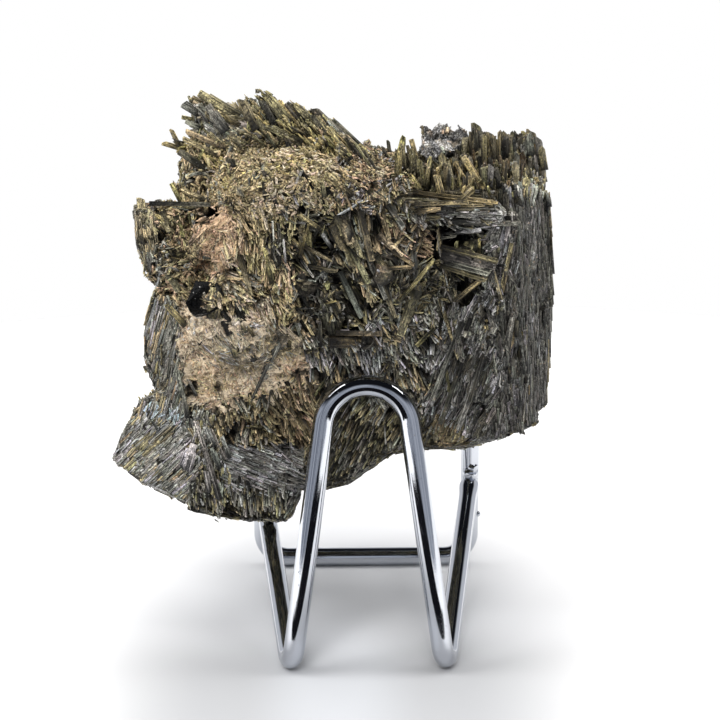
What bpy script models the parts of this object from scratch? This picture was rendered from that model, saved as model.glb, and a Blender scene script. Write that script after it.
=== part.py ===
"""Epidote specimen resting on a bent wire display stand.

The specimen is one intergrown mass of prismatic crystals. It lies in the angle between a low front
loop and a tall rear hoop of the stand, with its lower left edge on the left cradle arm.

Lengths below are millimetres, measured from the middle of the line through the two front feet:
+X to the right, +Y to the rear, +Z up from the table. The whole model hangs on one empty, which
moves the middle of its footprint to the origin.
"""

import math
import random

import bmesh
import bpy
from mathutils import Matrix, Vector
from mathutils.bvhtree import BVHTree

MM = 0.001

# Where the middle of the footprint lies in the modelling frame.
FOOTPRINT_X = -6.3
FOOTPRINT_Y = 27.0

# Stand
WIRE_RADIUS = 2.0
WIRE_SIDES = 12
FLAT_TO_CORNER = WIRE_RADIUS / math.cos(math.pi / WIRE_SIDES)
FEET_HALF_SPACING = 14.4
FOOT_BEND_RADIUS = 3.0
LOOP_TOP_Y = 7.5
LOOP_TOP_Z = 53.8
LOOP_BEND_RADIUS = 8.0
REAR_Y = 53.3
REAR_HALF_WIDTH = 22.9
REAR_LOWER_BEND = 5.6
REAR_UPPER_BEND = 13.0
REAR_TOP_Z = 66.0
ARM_END_Z = 19.5
WELD_SWELL = 0.45
WELD_LENGTH = 2.4
TOUCH_GAP = 0.3

# Specimen
ROCK_SEED = 31
ROCK_ROUGHNESS = 1.0  # how far a corner of a lump strays from its drawn place
WIDEST_Y = 20.0
LEVEL_Z = 120.0  # at this height a lump would run straight back
REAR_FALL = 0.46  # how far it falls for each millimetre of depth at table height
IN_STRAY = 0.35  # how far corners stray inwards, as a share of the roughness
DEPTH_STRAY = 0.8
LEVEL_STRAY = 0.15
FRONT_CROWN_DRAW = 0.55  # how far the crowned front draws in, as a share of the front's own
WIDE_FROM = 0.3  # between these shares of its depth a lump keeps its full outline
WIDE_TO = 0.66
PIT_SIDES = 7
BLADE_SIDES = 5
BLADE_ROOT_RADIUS = 0.5
BLADE_TIP_RADIUS = 0.42
TIP_TURN = 0.35  # how far the sloped end of a blade also leans sideways
TIP_DROP = 0.35  # how far below the end of a blade its slope is cut, in widths
ROOT_SINK = 0.25  # how far a blade is pushed in along the look, in widths
LONE_ROLL = 0.4
LONE_SLOPE = 0.8
MERGE_DISTANCE = 0.004
HULL_FACET_ANGLE = math.radians(3)
JOIN_FACET_ANGLE = math.radians(0.6)
WIRE_SHARP_ANGLE = math.radians(40)


# ---------------------------------------------------------------- shared helpers


def clear_scene():
    for item in list(bpy.data.objects):
        bpy.data.objects.remove(item, do_unlink=True)


def finish_material(name, colour, roughness, metallic):
    material = bpy.data.materials.new(name)
    material.use_nodes = True
    shader = material.node_tree.nodes["Principled BSDF"]
    shader.inputs["Base Color"].default_value = (*colour, 1.0)
    shader.inputs["Roughness"].default_value = roughness
    shader.inputs["Metallic"].default_value = metallic
    return material


def object_from(bm, name):
    """A linked object from a mesh drawn in millimetres."""
    mesh = bpy.data.meshes.new(name)
    bm.to_mesh(mesh)
    bm.free()
    mesh.transform(Matrix.Scale(MM, 4))
    made = bpy.data.objects.new(name, mesh)
    bpy.context.scene.collection.objects.link(made)
    return made


def cut_flat(bm, point, normal):
    """Slices a lump with a plane and closes it."""
    cut = bmesh.ops.bisect_plane(
        bm, geom=list(bm.verts) + list(bm.edges) + list(bm.faces),
        plane_co=Vector(point), plane_no=Vector(normal).normalized(), clear_outer=True,
    )
    rim = [e for e in cut["geom_cut"] if isinstance(e, bmesh.types.BMEdge)]
    if rim:
        bmesh.ops.holes_fill(bm, edges=rim, sides=0)
        bmesh.ops.triangulate(bm, faces=bm.faces)
        bmesh.ops.recalc_face_normals(bm, faces=bm.faces)


# ---------------------------------------------------------------- stand


def rounded_corner(before, corner, after, radius, pieces):
    """Points of the arc that rounds one corner of a wire."""
    back = (before - corner).normalized()
    ahead = (after - corner).normalized()
    half = back.angle(ahead) / 2
    centre = corner + (back + ahead).normalized() * (radius / math.sin(half))
    start = corner + back * (radius / math.tan(half)) - centre
    stop = corner + ahead * (radius / math.tan(half)) - centre
    turn = start.angle(stop)
    axis = start.cross(stop).normalized()
    return [
        centre + Matrix.Rotation(turn * k / pieces, 3, axis) @ start
        for k in range(pieces + 1)
    ]


def swept_wire(path, radii, closed, side_axis):
    """A wire of WIRE_SIDES flats along a path; side_axis lies across its first section."""
    bm = bmesh.new()
    rings = []
    count = len(path)
    across = side_axis.normalized()
    for k, point in enumerate(path):
        before = path[k - 1] if k or closed else path[0]
        after = path[(k + 1) % count] if k + 1 < count or closed else path[-1]
        along = (after - before).normalized()
        across = (across - along * across.dot(along)).normalized()
        other = along.cross(across)
        ring = []
        for side in range(WIRE_SIDES):
            angle = 2 * math.pi * (side + 0.5) / WIRE_SIDES
            offset = across * math.cos(angle) + other * math.sin(angle)
            ring.append(bm.verts.new(point + offset * radii[k]))
        rings.append(ring)
    pairs = list(zip(rings, rings[1:]))
    if closed:
        pairs.append((rings[-1], rings[0]))
    for near, far in pairs:
        for side in range(WIRE_SIDES):
            nxt = (side + 1) % WIRE_SIDES
            bm.faces.new((near[side], near[nxt], far[nxt], far[side]))
    if not closed:
        bm.faces.new(rings[0])
        bm.faces.new(rings[-1])
    bmesh.ops.recalc_face_normals(bm, faces=bm.faces)
    return bm


def loop_half_path():
    """Centre line of the right half of the front wire: loop top, leg, foot, cradle arm."""
    arm_end = Vector((REAR_HALF_WIDTH, REAR_Y, ARM_END_Z))
    foot_drop = 0.0
    path = []
    for _ in range(20):
        base = Vector((0, 0, WIRE_RADIUS - foot_drop))
        rise = Vector((0, LOOP_TOP_Y, LOOP_TOP_Z)) - base
        up = rise.normalized()
        bend_height = rise.length - LOOP_BEND_RADIUS
        reach = math.hypot(FEET_HALF_SPACING, bend_height)
        lean = math.atan2(bend_height, -FEET_HALF_SPACING) - math.asin(LOOP_BEND_RADIUS / reach)
        tangent_angle = lean - math.pi / 2
        bend_centre = base + up * bend_height
        side = Vector((1, 0, 0))
        path = []
        steps = 7
        for k in range(steps + 1):
            angle = math.pi / 2 + (tangent_angle - math.pi / 2) * k / steps
            out = side * math.cos(angle) + up * math.sin(angle)
            path.append(bend_centre + out * LOOP_BEND_RADIUS)
        corner = base + side * FEET_HALF_SPACING
        path += rounded_corner(path[-1], corner, arm_end, FOOT_BEND_RADIUS, 5)
        path.append(arm_end)
        miss = min(point.z for point in path) - WIRE_RADIUS
        foot_drop += miss
        if abs(miss) < 0.001:
            break
    return path


def front_wire_mesh(extra):
    """Front loop, two feet and two cradle arms: one wire, swollen where it is welded."""
    half = loop_half_path()
    end = half.pop()
    along = (end - half[-1]).normalized()
    weld = end - along * (WIRE_RADIUS + TOUCH_GAP)
    right = half + [weld - along * WELD_LENGTH, weld - along * (WELD_LENGTH / 2), end]
    right_radii = [WIRE_RADIUS] * (len(half) + 1) + [WIRE_RADIUS + WELD_SWELL, WIRE_RADIUS]
    left = [Vector((-p.x, p.y, p.z)) for p in right[1:]]
    path = list(reversed(left)) + right
    radii = list(reversed(right_radii[1:])) + right_radii
    bm = swept_wire(path, [radius + extra for radius in radii], False, Vector((0, 0, 1)))
    against_rear_leg = (0, REAR_Y - FLAT_TO_CORNER - TOUCH_GAP, 0)
    cut_flat(bm, against_rear_leg, (0, 1, 0))
    return bm


def rear_wire_mesh(extra):
    """Upright hoop whose lower bar lies flat on the table."""
    low = WIRE_RADIUS
    corners = [
        (Vector((-REAR_HALF_WIDTH, REAR_Y, low)), REAR_LOWER_BEND, 4),
        (Vector((REAR_HALF_WIDTH, REAR_Y, low)), REAR_LOWER_BEND, 4),
        (Vector((REAR_HALF_WIDTH, REAR_Y, REAR_TOP_Z - low)), REAR_UPPER_BEND, 6),
        (Vector((-REAR_HALF_WIDTH, REAR_Y, REAR_TOP_Z - low)), REAR_UPPER_BEND, 6),
    ]
    path = []
    for k, (corner, radius, pieces) in enumerate(corners):
        before = corners[k - 1][0]
        after = corners[(k + 1) % len(corners)][0]
        path += rounded_corner(before, corner, after, radius, pieces)
    radii = [FLAT_TO_CORNER + extra] * len(path)
    return swept_wire(path, radii, True, Vector((1, 0, 0)))


def make_wire(bm, name, material):
    wire = object_from(bm, name)
    wire.data.materials.append(material)
    wire.data.shade_smooth()
    wire.data.set_sharp_from_angle(angle=WIRE_SHARP_ANGLE)
    return wire


# ---------------------------------------------------------------- specimen: lumps


# Each lump: its outline seen from the front as (x, z) corners at WIDEST_Y, its front and rear y,
# how far the front and rear outlines draw in towards the middle, and how far the front crowns.
LUMPS = {
    "body": (
        [(-29, 95), (-19, 99), (-7, 97), (3, 93), (23, 92), (28, 80), (28, 55), (22, 41),
         (8, 40), (-6, 34), (-28, 33), (-36, 48), (-37, 70), (-34, 86)],
        (13, 49.4), (0.84, 0.84), 2.0,
    ),
    "left_peak": (
        [(-35, 84), (-34.5, 93), (-30, 102.5), (-27, 101), (-19, 103), (-8, 101), (-0.5, 94.5),
         (-10, 84)],
        (18, 39), (0.9, 0.84), 1.0,
    ),
    "dome": (
        [(-25, 95), (-12, 96), (2, 92), (7, 84), (-2, 78), (-22, 80), (-28, 88)],
        (9, 30), (0.8, 0.9), 2.5,
    ),
    "centre": (
        [(-19, 84), (-4, 86), (9, 84), (12, 68), (8, 58), (-8, 58), (-20, 64)],
        (8, 30), (0.86, 1.0), 1.0,
    ),
    "pale_mass": (
        [(-32, 71), (-25, 74), (-15, 70), (-12, 62), (-17, 54), (-28, 53), (-34, 60)],
        (5.5, 28), (0.68, 1.0), 2.0,
    ),
    "left_bump": (
        [(-42.2, 78), (-42.6, 85.6), (-36, 86), (-28, 84.5), (-26, 74), (-33, 69.5), (-39.4, 70)],
        (12, 33), (0.88, 0.8), 1.0,
    ),
    "left_slab": (
        [(-39, 70), (-41.4, 62), (-41.6, 54), (-36, 42), (-28, 46), (-28, 66), (-33, 73)],
        (12, 38), (0.9, 0.86), 0.6,
    ),
    "low_left_slab": (
        [(-42, 49), (-46.2, 41), (-48.4, 35.6), (-42, 30.6), (-34, 26.4), (-25, 31),
         (-22, 44), (-30, 54)],
        (11, 34), (0.94, 0.86), 0.8,
    ),
    "foot_slab": (
        [(-35, 31), (-34, 25.6), (-25, 23.4), (-16.2, 23.4), (-13.8, 28), (-13, 34), (-20, 42),
         (-30, 42)],
        (11, 40.0), (1.0, 0.97), 0.4,
    ),
    "keel": (
        [(-15, 46), (-14, 30), (-8.4, 29.8), (-4, 31), (-2, 34), (4, 37.4), (12, 42), (12, 56),
         (-10, 56)],
        (10.6, 42), (0.97, 0.86), 0.6,
    ),
    "right_foot": (
        [(2, 52), (4, 38.4), (12, 37.8), (19.4, 37.8), (26, 40), (33, 43), (32, 60), (8, 62)],
        (12, 42), (0.96, 0.88), 0.6,
    ),
    "right_block": (
        [(11, 88), (19, 91), (30, 91.5), (33, 88), (34.6, 74), (35, 58), (34.2, 46), (30, 42),
         (22, 40), (14, 44), (9, 66)],
        (11, 43), (0.95, 0.92), 0.6,
    ),
    "right_crown": (
        [(9, 90), (10.8, 96.2), (14, 97), (18, 92.6), (31.5, 92), (34, 90), (33.4, 84), (10, 84)],
        (20, 40), (0.94, 0.86), 0.5,
    ),
    "ledge": (
        [(6, 86.4), (24, 85.6), (26, 83.2), (24, 81), (8, 80)],
        (8.6, 26), (0.96, 1.0), 0.5,
    ),
}

# Pits and clefts, open to the front: middle of the mouth, its half width and half height, depth.
PITS = (
    ((-29.6, 4.0, 75.0), 2.4, 3.4, 12.0),
    ((-8.0, 4.0, 80.5), 3.6, 2.8, 9.0),
    ((-5.0, 4.0, 73.5), 3.0, 2.6, 8.0),
    ((18.0, 6.0, 79.0), 3.8, 2.4, 9.5),
    ((17.0, 6.0, 70.4), 3.0, 3.0, 9.0),
    ((-32.4, 8.0, 82.6), 1.2, 3.4, 9.0),
)

# The right face of the specimen is one plane of parallel columns.
RIGHT_FACE_POINT = (30.6, 13.0, 60.0)
RIGHT_FACE_NORMAL = (0.82, -0.57, 0.03)


def lump_mesh(spec, dice):
    """A faceted lump: the hull of its outline at four depths, with every corner strayed."""
    outline, (front, rear), (front_draw, rear_draw), crown = spec
    middle = Vector((
        sum(x for x, _ in outline) / len(outline),
        sum(z for _, z in outline) / len(outline),
    ))
    depth = rear - front
    layers = [
        (front - crown, front_draw * FRONT_CROWN_DRAW),
        (front, front_draw),
        (front + depth * WIDE_FROM, 1.0),
        (front + depth * WIDE_TO, 1.0),
        (rear, rear_draw),
    ]
    bm = bmesh.new()
    for y, draw in layers:
        for x, z in outline:
            away = Vector((x, z)) - middle
            stray = [dice.uniform(-1, 1) * ROCK_ROUGHNESS for _ in range(3)]
            place = middle + away * draw
            place -= away.normalized() * (IN_STRAY * abs(stray[0]))
            depth_y = y + stray[1] * DEPTH_STRAY
            fall = REAR_FALL * (1 - place.y / LEVEL_Z) * (depth_y - WIDEST_Y)
            bm.verts.new((place.x, depth_y, place.y - fall + stray[2] * LEVEL_STRAY))
    bmesh.ops.convex_hull(bm, input=bm.verts)
    loose = {v for v in bm.verts if not v.link_faces}
    bmesh.ops.delete(bm, geom=list(loose), context="VERTS")
    bmesh.ops.dissolve_limit(bm, angle_limit=HULL_FACET_ANGLE, verts=bm.verts, edges=bm.edges)
    bmesh.ops.triangulate(bm, faces=bm.faces)
    bmesh.ops.recalc_face_normals(bm, faces=bm.faces)
    return bm


def keep_outer_shell(mesh):
    """Fills sealed hollows left between lumps, by keeping only the shell that encloses them."""
    bm = bmesh.new()
    bm.from_mesh(mesh)
    bmesh.ops.triangulate(bm, faces=bm.faces)
    left = set(bm.faces)
    shells = []
    while left:
        shell = []
        edge = [left.pop()]
        while edge:
            face = edge.pop()
            shell.append(face)
            near = {other for e in face.edges for other in e.link_faces if other in left}
            left -= near
            edge += near
        shells.append(shell)
    outer = max(shells, key=lambda shell: sum(face.calc_area() for face in shell))
    rest = [face for shell in shells if shell is not outer for face in shell]
    bmesh.ops.delete(bm, geom=rest, context="FACES")
    bm.to_mesh(mesh)
    bm.free()


def combined(target, pieces, operation):
    """The exact union or difference of an object and others, which are used up."""
    group = bpy.data.collections.new("join")
    bpy.context.scene.collection.children.link(group)
    for piece in pieces:
        bpy.context.scene.collection.objects.unlink(piece)
        group.objects.link(piece)
        piece.hide_render = True
        piece.display_type = "WIRE"
    boolean = target.modifiers.new("combine", "BOOLEAN")
    boolean.operation = operation
    boolean.solver = "EXACT"
    boolean.operand_type = "COLLECTION"
    boolean.collection = group
    solid = bpy.data.meshes.new_from_object(
        target.evaluated_get(bpy.context.evaluated_depsgraph_get())
    )
    keep_outer_shell(solid)
    target.modifiers.remove(boolean)
    old = target.data
    target.data = solid
    bpy.data.meshes.remove(old)
    for piece in pieces:
        bpy.data.objects.remove(piece, do_unlink=True)
    bpy.data.collections.remove(group)
    return target


def pit_mesh(spec, dice):
    """A ragged wedge that narrows inwards, drawn as three rings from its mouth to its bottom."""
    mouth, half_width, half_height, depth = spec
    before_mouth = (-6.0, 1.25)
    waist = (depth * 0.55, 1.0)
    bottom = (depth, 0.35)
    bm = bmesh.new()
    for y, size in (before_mouth, waist, bottom):
        for k in range(PIT_SIDES):
            angle = math.tau * k / PIT_SIDES + dice.uniform(-0.2, 0.2)
            reach = size * dice.uniform(0.8, 1.15)
            bm.verts.new((
                mouth[0] + half_width * reach * math.cos(angle),
                mouth[1] + y,
                mouth[2] + half_height * reach * math.sin(angle),
            ))
    bmesh.ops.convex_hull(bm, input=bm.verts)
    loose = [v for v in bm.verts if not v.link_faces]
    bmesh.ops.delete(bm, geom=loose, context="VERTS")
    bmesh.ops.recalc_face_normals(bm, faces=bm.faces)
    return bm


def make_core():
    dice = random.Random(ROCK_SEED)
    lumps = []
    for name, spec in LUMPS.items():
        bm = lump_mesh(spec, dice)
        if name in ("right_block", "right_foot", "right_crown"):
            cut_flat(bm, RIGHT_FACE_POINT, RIGHT_FACE_NORMAL)
        lumps.append(object_from(bm, name))
    core = combined(lumps[0], lumps[1:], "UNION")
    pits = [object_from(pit_mesh(spec, dice), "pit") for spec in PITS]
    return combined(core, pits, "DIFFERENCE")


# ---------------------------------------------------------------- specimen: crystals


def blade(root, direction, length, width, thickness, roll, tip_slope):
    """One prismatic crystal: a flattened prism with a sloped chisel end, from root outwards."""
    bm = bmesh.new()
    bmesh.ops.create_cone(
        bm, cap_ends=True, segments=BLADE_SIDES, radius1=BLADE_ROOT_RADIUS,
        radius2=BLADE_TIP_RADIUS, depth=1.0, matrix=Matrix.Translation((0, 0, 0.5)),
    )
    shape = Matrix.Diagonal((width, thickness, length, 1))
    bmesh.ops.transform(bm, matrix=shape, verts=bm.verts)
    slope = Vector((tip_slope, TIP_TURN * tip_slope, 1)).normalized()
    cut_flat(bm, (0, 0, length - TIP_DROP * width), slope)
    along = Vector(direction).normalized()
    turn = along.to_track_quat("Z", "Y").to_matrix().to_4x4()
    place = Matrix.Translation(Vector(root)) @ turn @ Matrix.Rotation(roll, 4, "Z")
    bmesh.ops.transform(bm, matrix=place, verts=bm.verts)
    return bm


# The sides from which a patch of crystals is looked at: where the look starts, and which way.
LOOKS = {
    "front": (lambda a, b: (a, -40.0, b), (0, 1, 0)),
    "rear": (lambda a, b: (a, 100.0, b), (0, -1, 0)),
    "top": (lambda a, b: (a, b, 160.0), (0, 0, -1)),
    "right": (lambda a, b: (100.0, a, b), (-1, 0, 0)),
    "left": (lambda a, b: (-100.0, a, b), (1, 0, 0)),
}

# Patches of crystals: side, range along the first and second axis of that side, rows of that
# patch (across, up), growth direction, its spread, length range, width range, buried share.
PATCHES = (
    ("top", (-34, -5), (17, 37), (8, 4), (-0.50, 0.0, 0.86), 0.20, (7, 10), (2.2, 3.4), 0.62),
    ("top", (11, 33.4), (21, 39), (7, 4), (0.05, 0.0, 1.0), 0.08, (8, 12), (2.8, 4.2), 0.5),
    ("top", (13, 29), (12, 20), (6, 1), (0.05, 0.0, 1.0), 0.16, (7, 10), (2.2, 3.0), 0.5),
    ("front", (-26, 3), (84, 96), (7, 3), (-0.15, -0.5, 0.8), 0.6, (6, 9), (1.8, 2.8), 0.5),
    ("front", (-17, 8), (63, 83), (6, 4), (0.2, -0.5, 0.6), 0.8, (8, 13), (2.0, 3.4), 0.55),
    ("front", (-40, -30), (72, 83), (3, 3), (-0.5, -0.5, 0.1), 0.5, (5, 8), (1.8, 2.8), 0.6),
    ("front", (-32, -15), (56, 72), (4, 3), (-0.4, -0.6, 0.5), 0.7, (6, 9), (2.0, 3.0), 0.65),
    ("front", (9, 27), (62, 80), (4, 3), (0.25, -0.25, -0.9), 0.2, (12, 18), (2.0, 3.4), 0.5),
    ("front", (10, 30), (46, 60), (5, 2), (0.10, -0.10, 1.0), 0.08, (12, 16), (2.0, 3.4), 0.5),
    ("front", (-10, 12), (42, 56), (5, 2), (-0.45, -0.1, -0.85), 0.12, (10, 14), (2.0, 3.2), 0.5),
    ("front", (-29, -16), (27, 33), (4, 1), (0.0, -0.08, -1.0), 0.10, (5, 7), (1.8, 2.6), 0.5),
    ("front", (-40, -29), (36, 47), (3, 2), (0.70, -0.08, 0.62), 0.10, (9, 12), (2.0, 3.0), 0.5),
    ("front", (-39, -33), (50, 66), (2, 3), (-0.20, -0.08, -1.0), 0.10, (9, 13), (2.0, 3.0), 0.5),
    ("right", (16, 38), (54, 80), (5, 2), (0.0, 0.0, 1.0), 0.05, (18, 24), (2.8, 4.4), 0.5),
    ("left", (18, 36), (42, 76), (2, 3), (-0.1, 0.1, -1.0), 0.2, (10, 15), (2.2, 3.4), 0.55),
    ("rear", (-34, 30), (68, 90), (5, 2), (0.1, 0.22, 0.9), 0.22, (13, 19), (3.4, 5.2), 0.5),
    ("rear", (-30, 28), (42, 62), (5, 1), (0.1, 0.06, 0.9), 0.10, (16, 22), (4.0, 6.0), 0.5),
)

# Single crystals that stand out: tip and root, width and thickness.
LONE_CRYSTALS = (
    ((3.4, 6.6, 62.0), (-7.6, 9.8, 63.0), 4.4, 3.6),
    ((23.8, 8.4, 79.6), (11.6, 13.0, 76.6), 3.0, 2.6),
    ((4.0, 6.0, 89.0), (-6.4, 10.4, 84.0), 1.6, 1.4),
    ((8.2, 6.8, 71.0), (6.8, 12.0, 61.0), 3.0, 2.2),
    ((-35.4, 20.0, 97.4), (-26.0, 25.0, 91.0), 2.2, 1.8),
    ((-31.2, 20.0, 105.8), (-27.0, 24.0, 92.0), 3.0, 2.6),
    ((-18.8, 19.0, 106.6), (-13.0, 24.0, 92.0), 2.8, 2.4),
    ((-13.4, 20.0, 104.4), (-7.0, 25.0, 91.0), 2.6, 2.2),
    ((22.6, 15.0, 68.6), (16.4, 11.6, 76.0), 2.2, 1.8),
    ((-23.4, 51.6, 56.0), (-20.0, 47.0, 44.0), 6.0, 4.6),
    ((23.0, 51.6, 52.0), (21.0, 46.5, 66.0), 5.4, 4.6),
)


def crystal_patch(tree, patch, dice):
    """Blades rooted in the mass where looks along one axis meet it, one for each cell."""
    side, first, second, (across, up), growth, spread, lengths, widths, buried = patch
    start_of, look = LOOKS[side]
    found = []
    for i in range(across):
        for j in range(up):
            a = first[0] + (first[1] - first[0]) * (i + dice.uniform(0.1, 0.9)) / across
            b = second[0] + (second[1] - second[0]) * (j + dice.uniform(0.1, 0.9)) / up
            stray = Vector([dice.uniform(-1, 1) * spread for _ in range(3)])
            length = dice.uniform(*lengths)
            width = dice.uniform(*widths)
            thin = dice.uniform(0.55, 0.9)
            roll = dice.uniform(0, math.tau)
            slope = dice.uniform(0.5, 1.3)
            hit = tree.ray_cast(Vector(start_of(a, b)), Vector(look))[0]
            if hit is None:
                continue
            direction = (Vector(growth) + stray).normalized()
            root = hit - direction * (length * buried) + Vector(look) * (width * ROOT_SINK)
            found.append(blade(root, direction, length, width, width * thin, roll, slope))
    return found


def wire_clearances():
    """Both wires, fatter by the gap that touching pieces keep."""
    bodies = []
    for bm in (front_wire_mesh(TOUCH_GAP), rear_wire_mesh(TOUCH_GAP)):
        bodies.append(object_from(bm, "clearance"))
    return bodies


def tidy_facets(mesh):
    """Merges the slivers that the joins leave inside one flat facet."""
    bm = bmesh.new()
    bm.from_mesh(mesh)
    bmesh.ops.remove_doubles(bm, verts=bm.verts, dist=MERGE_DISTANCE * MM)
    bmesh.ops.dissolve_degenerate(bm, edges=bm.edges, dist=MERGE_DISTANCE * MM)
    bmesh.ops.dissolve_limit(bm, angle_limit=JOIN_FACET_ANGLE, verts=bm.verts, edges=bm.edges)
    bmesh.ops.triangulate(bm, faces=bm.faces)
    bm.to_mesh(mesh)
    bm.free()


def make_epidote(material):
    """The intergrown mass with its crystals, one solid."""
    rock = make_core()
    rock.name = "epidote"
    rock.data.name = "epidote"
    scan = bmesh.new()
    scan.from_mesh(rock.data)
    bmesh.ops.transform(scan, matrix=Matrix.Scale(1 / MM, 4), verts=scan.verts)
    tree = BVHTree.FromBMesh(scan)
    scan.free()
    dice = random.Random(ROCK_SEED + 1)
    crystals = []
    for patch in PATCHES:
        for bm in crystal_patch(tree, patch, dice):
            crystals.append(object_from(bm, "crystal"))
    for tip, root, width, thickness in LONE_CRYSTALS:
        run = Vector(tip) - Vector(root)
        bm = blade(root, run, run.length, width, thickness, LONE_ROLL, LONE_SLOPE)
        crystals.append(object_from(bm, "crystal"))
    rock = combined(rock, crystals, "UNION")
    rock = combined(rock, wire_clearances(), "DIFFERENCE")
    tidy_facets(rock.data)
    rock.data.materials.clear()
    rock.data.materials.append(material)
    return rock


# ---------------------------------------------------------------- model


def main():
    clear_scene()
    chrome = finish_material("bright_wire", (0.72, 0.74, 0.78), 0.12, 1.0)
    stone = finish_material("epidote_green", (0.20, 0.19, 0.10), 0.45, 0.0)
    centre = bpy.data.objects.new("specimen_and_stand", None)
    bpy.context.scene.collection.objects.link(centre)
    centre.location = (-FOOTPRINT_X * MM, -FOOTPRINT_Y * MM, 0)
    pieces = [
        make_wire(front_wire_mesh(0.0), "front_wire", chrome),
        make_wire(rear_wire_mesh(0.0), "rear_wire", chrome),
        make_epidote(stone),
    ]
    for piece in pieces:
        piece.parent = centre


main()
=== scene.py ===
"""Epidote specimen on a bent wire stand: crystals, pale grains, bright wires and a studio stage."""

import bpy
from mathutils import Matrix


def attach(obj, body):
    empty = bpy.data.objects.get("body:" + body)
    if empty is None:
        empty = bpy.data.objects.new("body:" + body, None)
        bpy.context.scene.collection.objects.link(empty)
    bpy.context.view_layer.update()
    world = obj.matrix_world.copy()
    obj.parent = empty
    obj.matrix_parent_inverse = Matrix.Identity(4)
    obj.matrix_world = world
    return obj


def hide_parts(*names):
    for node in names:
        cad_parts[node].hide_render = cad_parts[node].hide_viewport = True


bl_info = {
    "name": "Epidote on a Wire Stand",
    "version": (1, 0, 0),
    "blender": (4, 5, 0),
    "location": "3D View > Sidebar > Specimen",
    "description": "Grows crystals over the packed specimen and polishes its wire stand",
    "category": "Object",
}

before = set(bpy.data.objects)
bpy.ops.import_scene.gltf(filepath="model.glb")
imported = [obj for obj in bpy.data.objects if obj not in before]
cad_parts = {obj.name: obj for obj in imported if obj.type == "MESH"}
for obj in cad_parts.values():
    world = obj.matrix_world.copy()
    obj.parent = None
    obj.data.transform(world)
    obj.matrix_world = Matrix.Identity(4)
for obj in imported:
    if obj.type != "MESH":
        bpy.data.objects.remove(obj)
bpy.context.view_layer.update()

import math

import bmesh
import bpy
import numpy as np
from mathutils import Matrix, Vector, noise
from mathutils.bvhtree import BVHTree

# Work is done in stand millimetres: from the middle of the front feet, +X right, +Y back, +Z up.
MM = 0.001
STAND_ORIGIN = np.array((6.3, -27.0, 0.0))

# Camera, in stand millimetres.
CAMERA_PLACE = (-1.5, -239.8, 120.3)
CAMERA_PITCH = math.radians(14.0)
CAMERA_YAW = math.radians(-0.08)
CAMERA_ROLL = math.radians(-0.4)
LENS_MM = 70.0
SENSOR_MM = 36.0
IMAGE_SIDE = 720
FOCAL_PIXELS = LENS_MM / SENSOR_MM * IMAGE_SIDE

SEED = 20  # every draw starts from it, so that each run grows the same crystals


# ---------------------------------------------------------------- settings


def length_setting(name, description, default_mm):
    return bpy.props.FloatProperty(
        name=name, description=description, default=default_mm * MM, unit="LENGTH", precision=5
    )


def colour_setting(name, description, default):
    return bpy.props.FloatVectorProperty(
        name=name, description=description, default=default, size=3, subtype="COLOR",
        min=0.0, max=1.0,
    )


class StandSettings(bpy.types.PropertyGroup):
    """Sizes and colours of the wire stand."""

    wire_radius: length_setting("Wire radius", "Half the thickness of both wires", 2.0)
    feet_half_spacing: length_setting(
        "Feet half spacing", "From the middle to a front leg, at the table", 14.4)
    foot_bend: length_setting("Foot bend", "Bend radius of the front feet", 3.0)
    loop_top_y: length_setting("Loop top depth", "How far back the front loop leans", 7.5)
    loop_top_z: length_setting("Loop top height", "Height of the front loop's centre line", 53.8)
    loop_bend: length_setting("Loop bend", "Bend radius of the front loop", 8.0)
    rear_y: length_setting("Rear hoop depth", "Distance from the feet back to the hoop", 53.3)
    rear_half_width: length_setting("Rear half width", "Middle to centre line of a riser", 22.9)
    rear_lower_bend: length_setting("Lower bend", "Bend radius of the hoop's lower corners", 5.6)
    rear_upper_bend: length_setting("Upper bend", "Bend radius of the hoop's upper corners", 13.0)
    rear_top_z: length_setting("Rear hoop height", "Top of the hoop above the table", 66.0)
    arm_end_z: length_setting("Arm end height", "Height at which the arms meet the risers", 19.5)
    weld_swell: length_setting("Weld swell", "How far a weld bead stands out", 0.5)
    polish: colour_setting("Polish", "Colour of the bright plating", (0.50, 0.52, 0.56))


class StoneSettings(bpy.types.PropertyGroup):
    """Colours of the specimen."""

    olive: colour_setting("Olive", "Ordinary crystal faces", (0.149, 0.128, 0.067))
    dark: colour_setting("Dark", "Deep, nearly black green crystals", (0.034, 0.032, 0.022))
    yellow: colour_setting("Yellow", "Thin olive-yellow crystals", (0.246, 0.202, 0.086))
    tan: colour_setting("Tan", "Tan crystals of the dome", (0.330, 0.265, 0.150))
    cream: colour_setting("Cream", "Pale granular mass", (0.600, 0.500, 0.365))
    pink: colour_setting("Pink", "Pinkish weathered grains", (0.560, 0.395, 0.255))
    ice: colour_setting("Ice", "Pale bluish grains", (0.330, 0.385, 0.420))
    grey: colour_setting("Grey", "Grey-green striated faces", (0.150, 0.148, 0.127))
    lavender: colour_setting("Lavender", "Silvery grey faces", (0.225, 0.222, 0.222))
    # Pale silvery grey: in the pale mass a grain colour, on the large single crystals a painted
    # highlight of glossy facets.
    silver_and_highlight: colour_setting("Silver", "Bright silvery facets", (0.480, 0.465, 0.460))
    charcoal: colour_setting("Charcoal", "Dark grey plates", (0.077, 0.077, 0.072))
    bronze: colour_setting("Bronze", "Glossy brown crystal", (0.120, 0.090, 0.045))
    gap: colour_setting("Gap", "Unlit bottom between crystals", (0.010, 0.009, 0.007))
    rust: colour_setting("Rust", "Warm brown depths of the dome", (0.095, 0.058, 0.024))
    # Pale edges of the crystals: partly rubbed wear, partly a painted highlight of the lit edge.
    worn_and_lit: colour_setting("Worn", "Rubbed edges of the crystals", (0.560, 0.500, 0.380))
    dust: colour_setting("Dust", "Weathering dust on upper faces", (0.400, 0.350, 0.270))


def stand_sizes():
    """The panel's sizes of the stand."""
    return bpy.context.scene.specimen_stand


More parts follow.
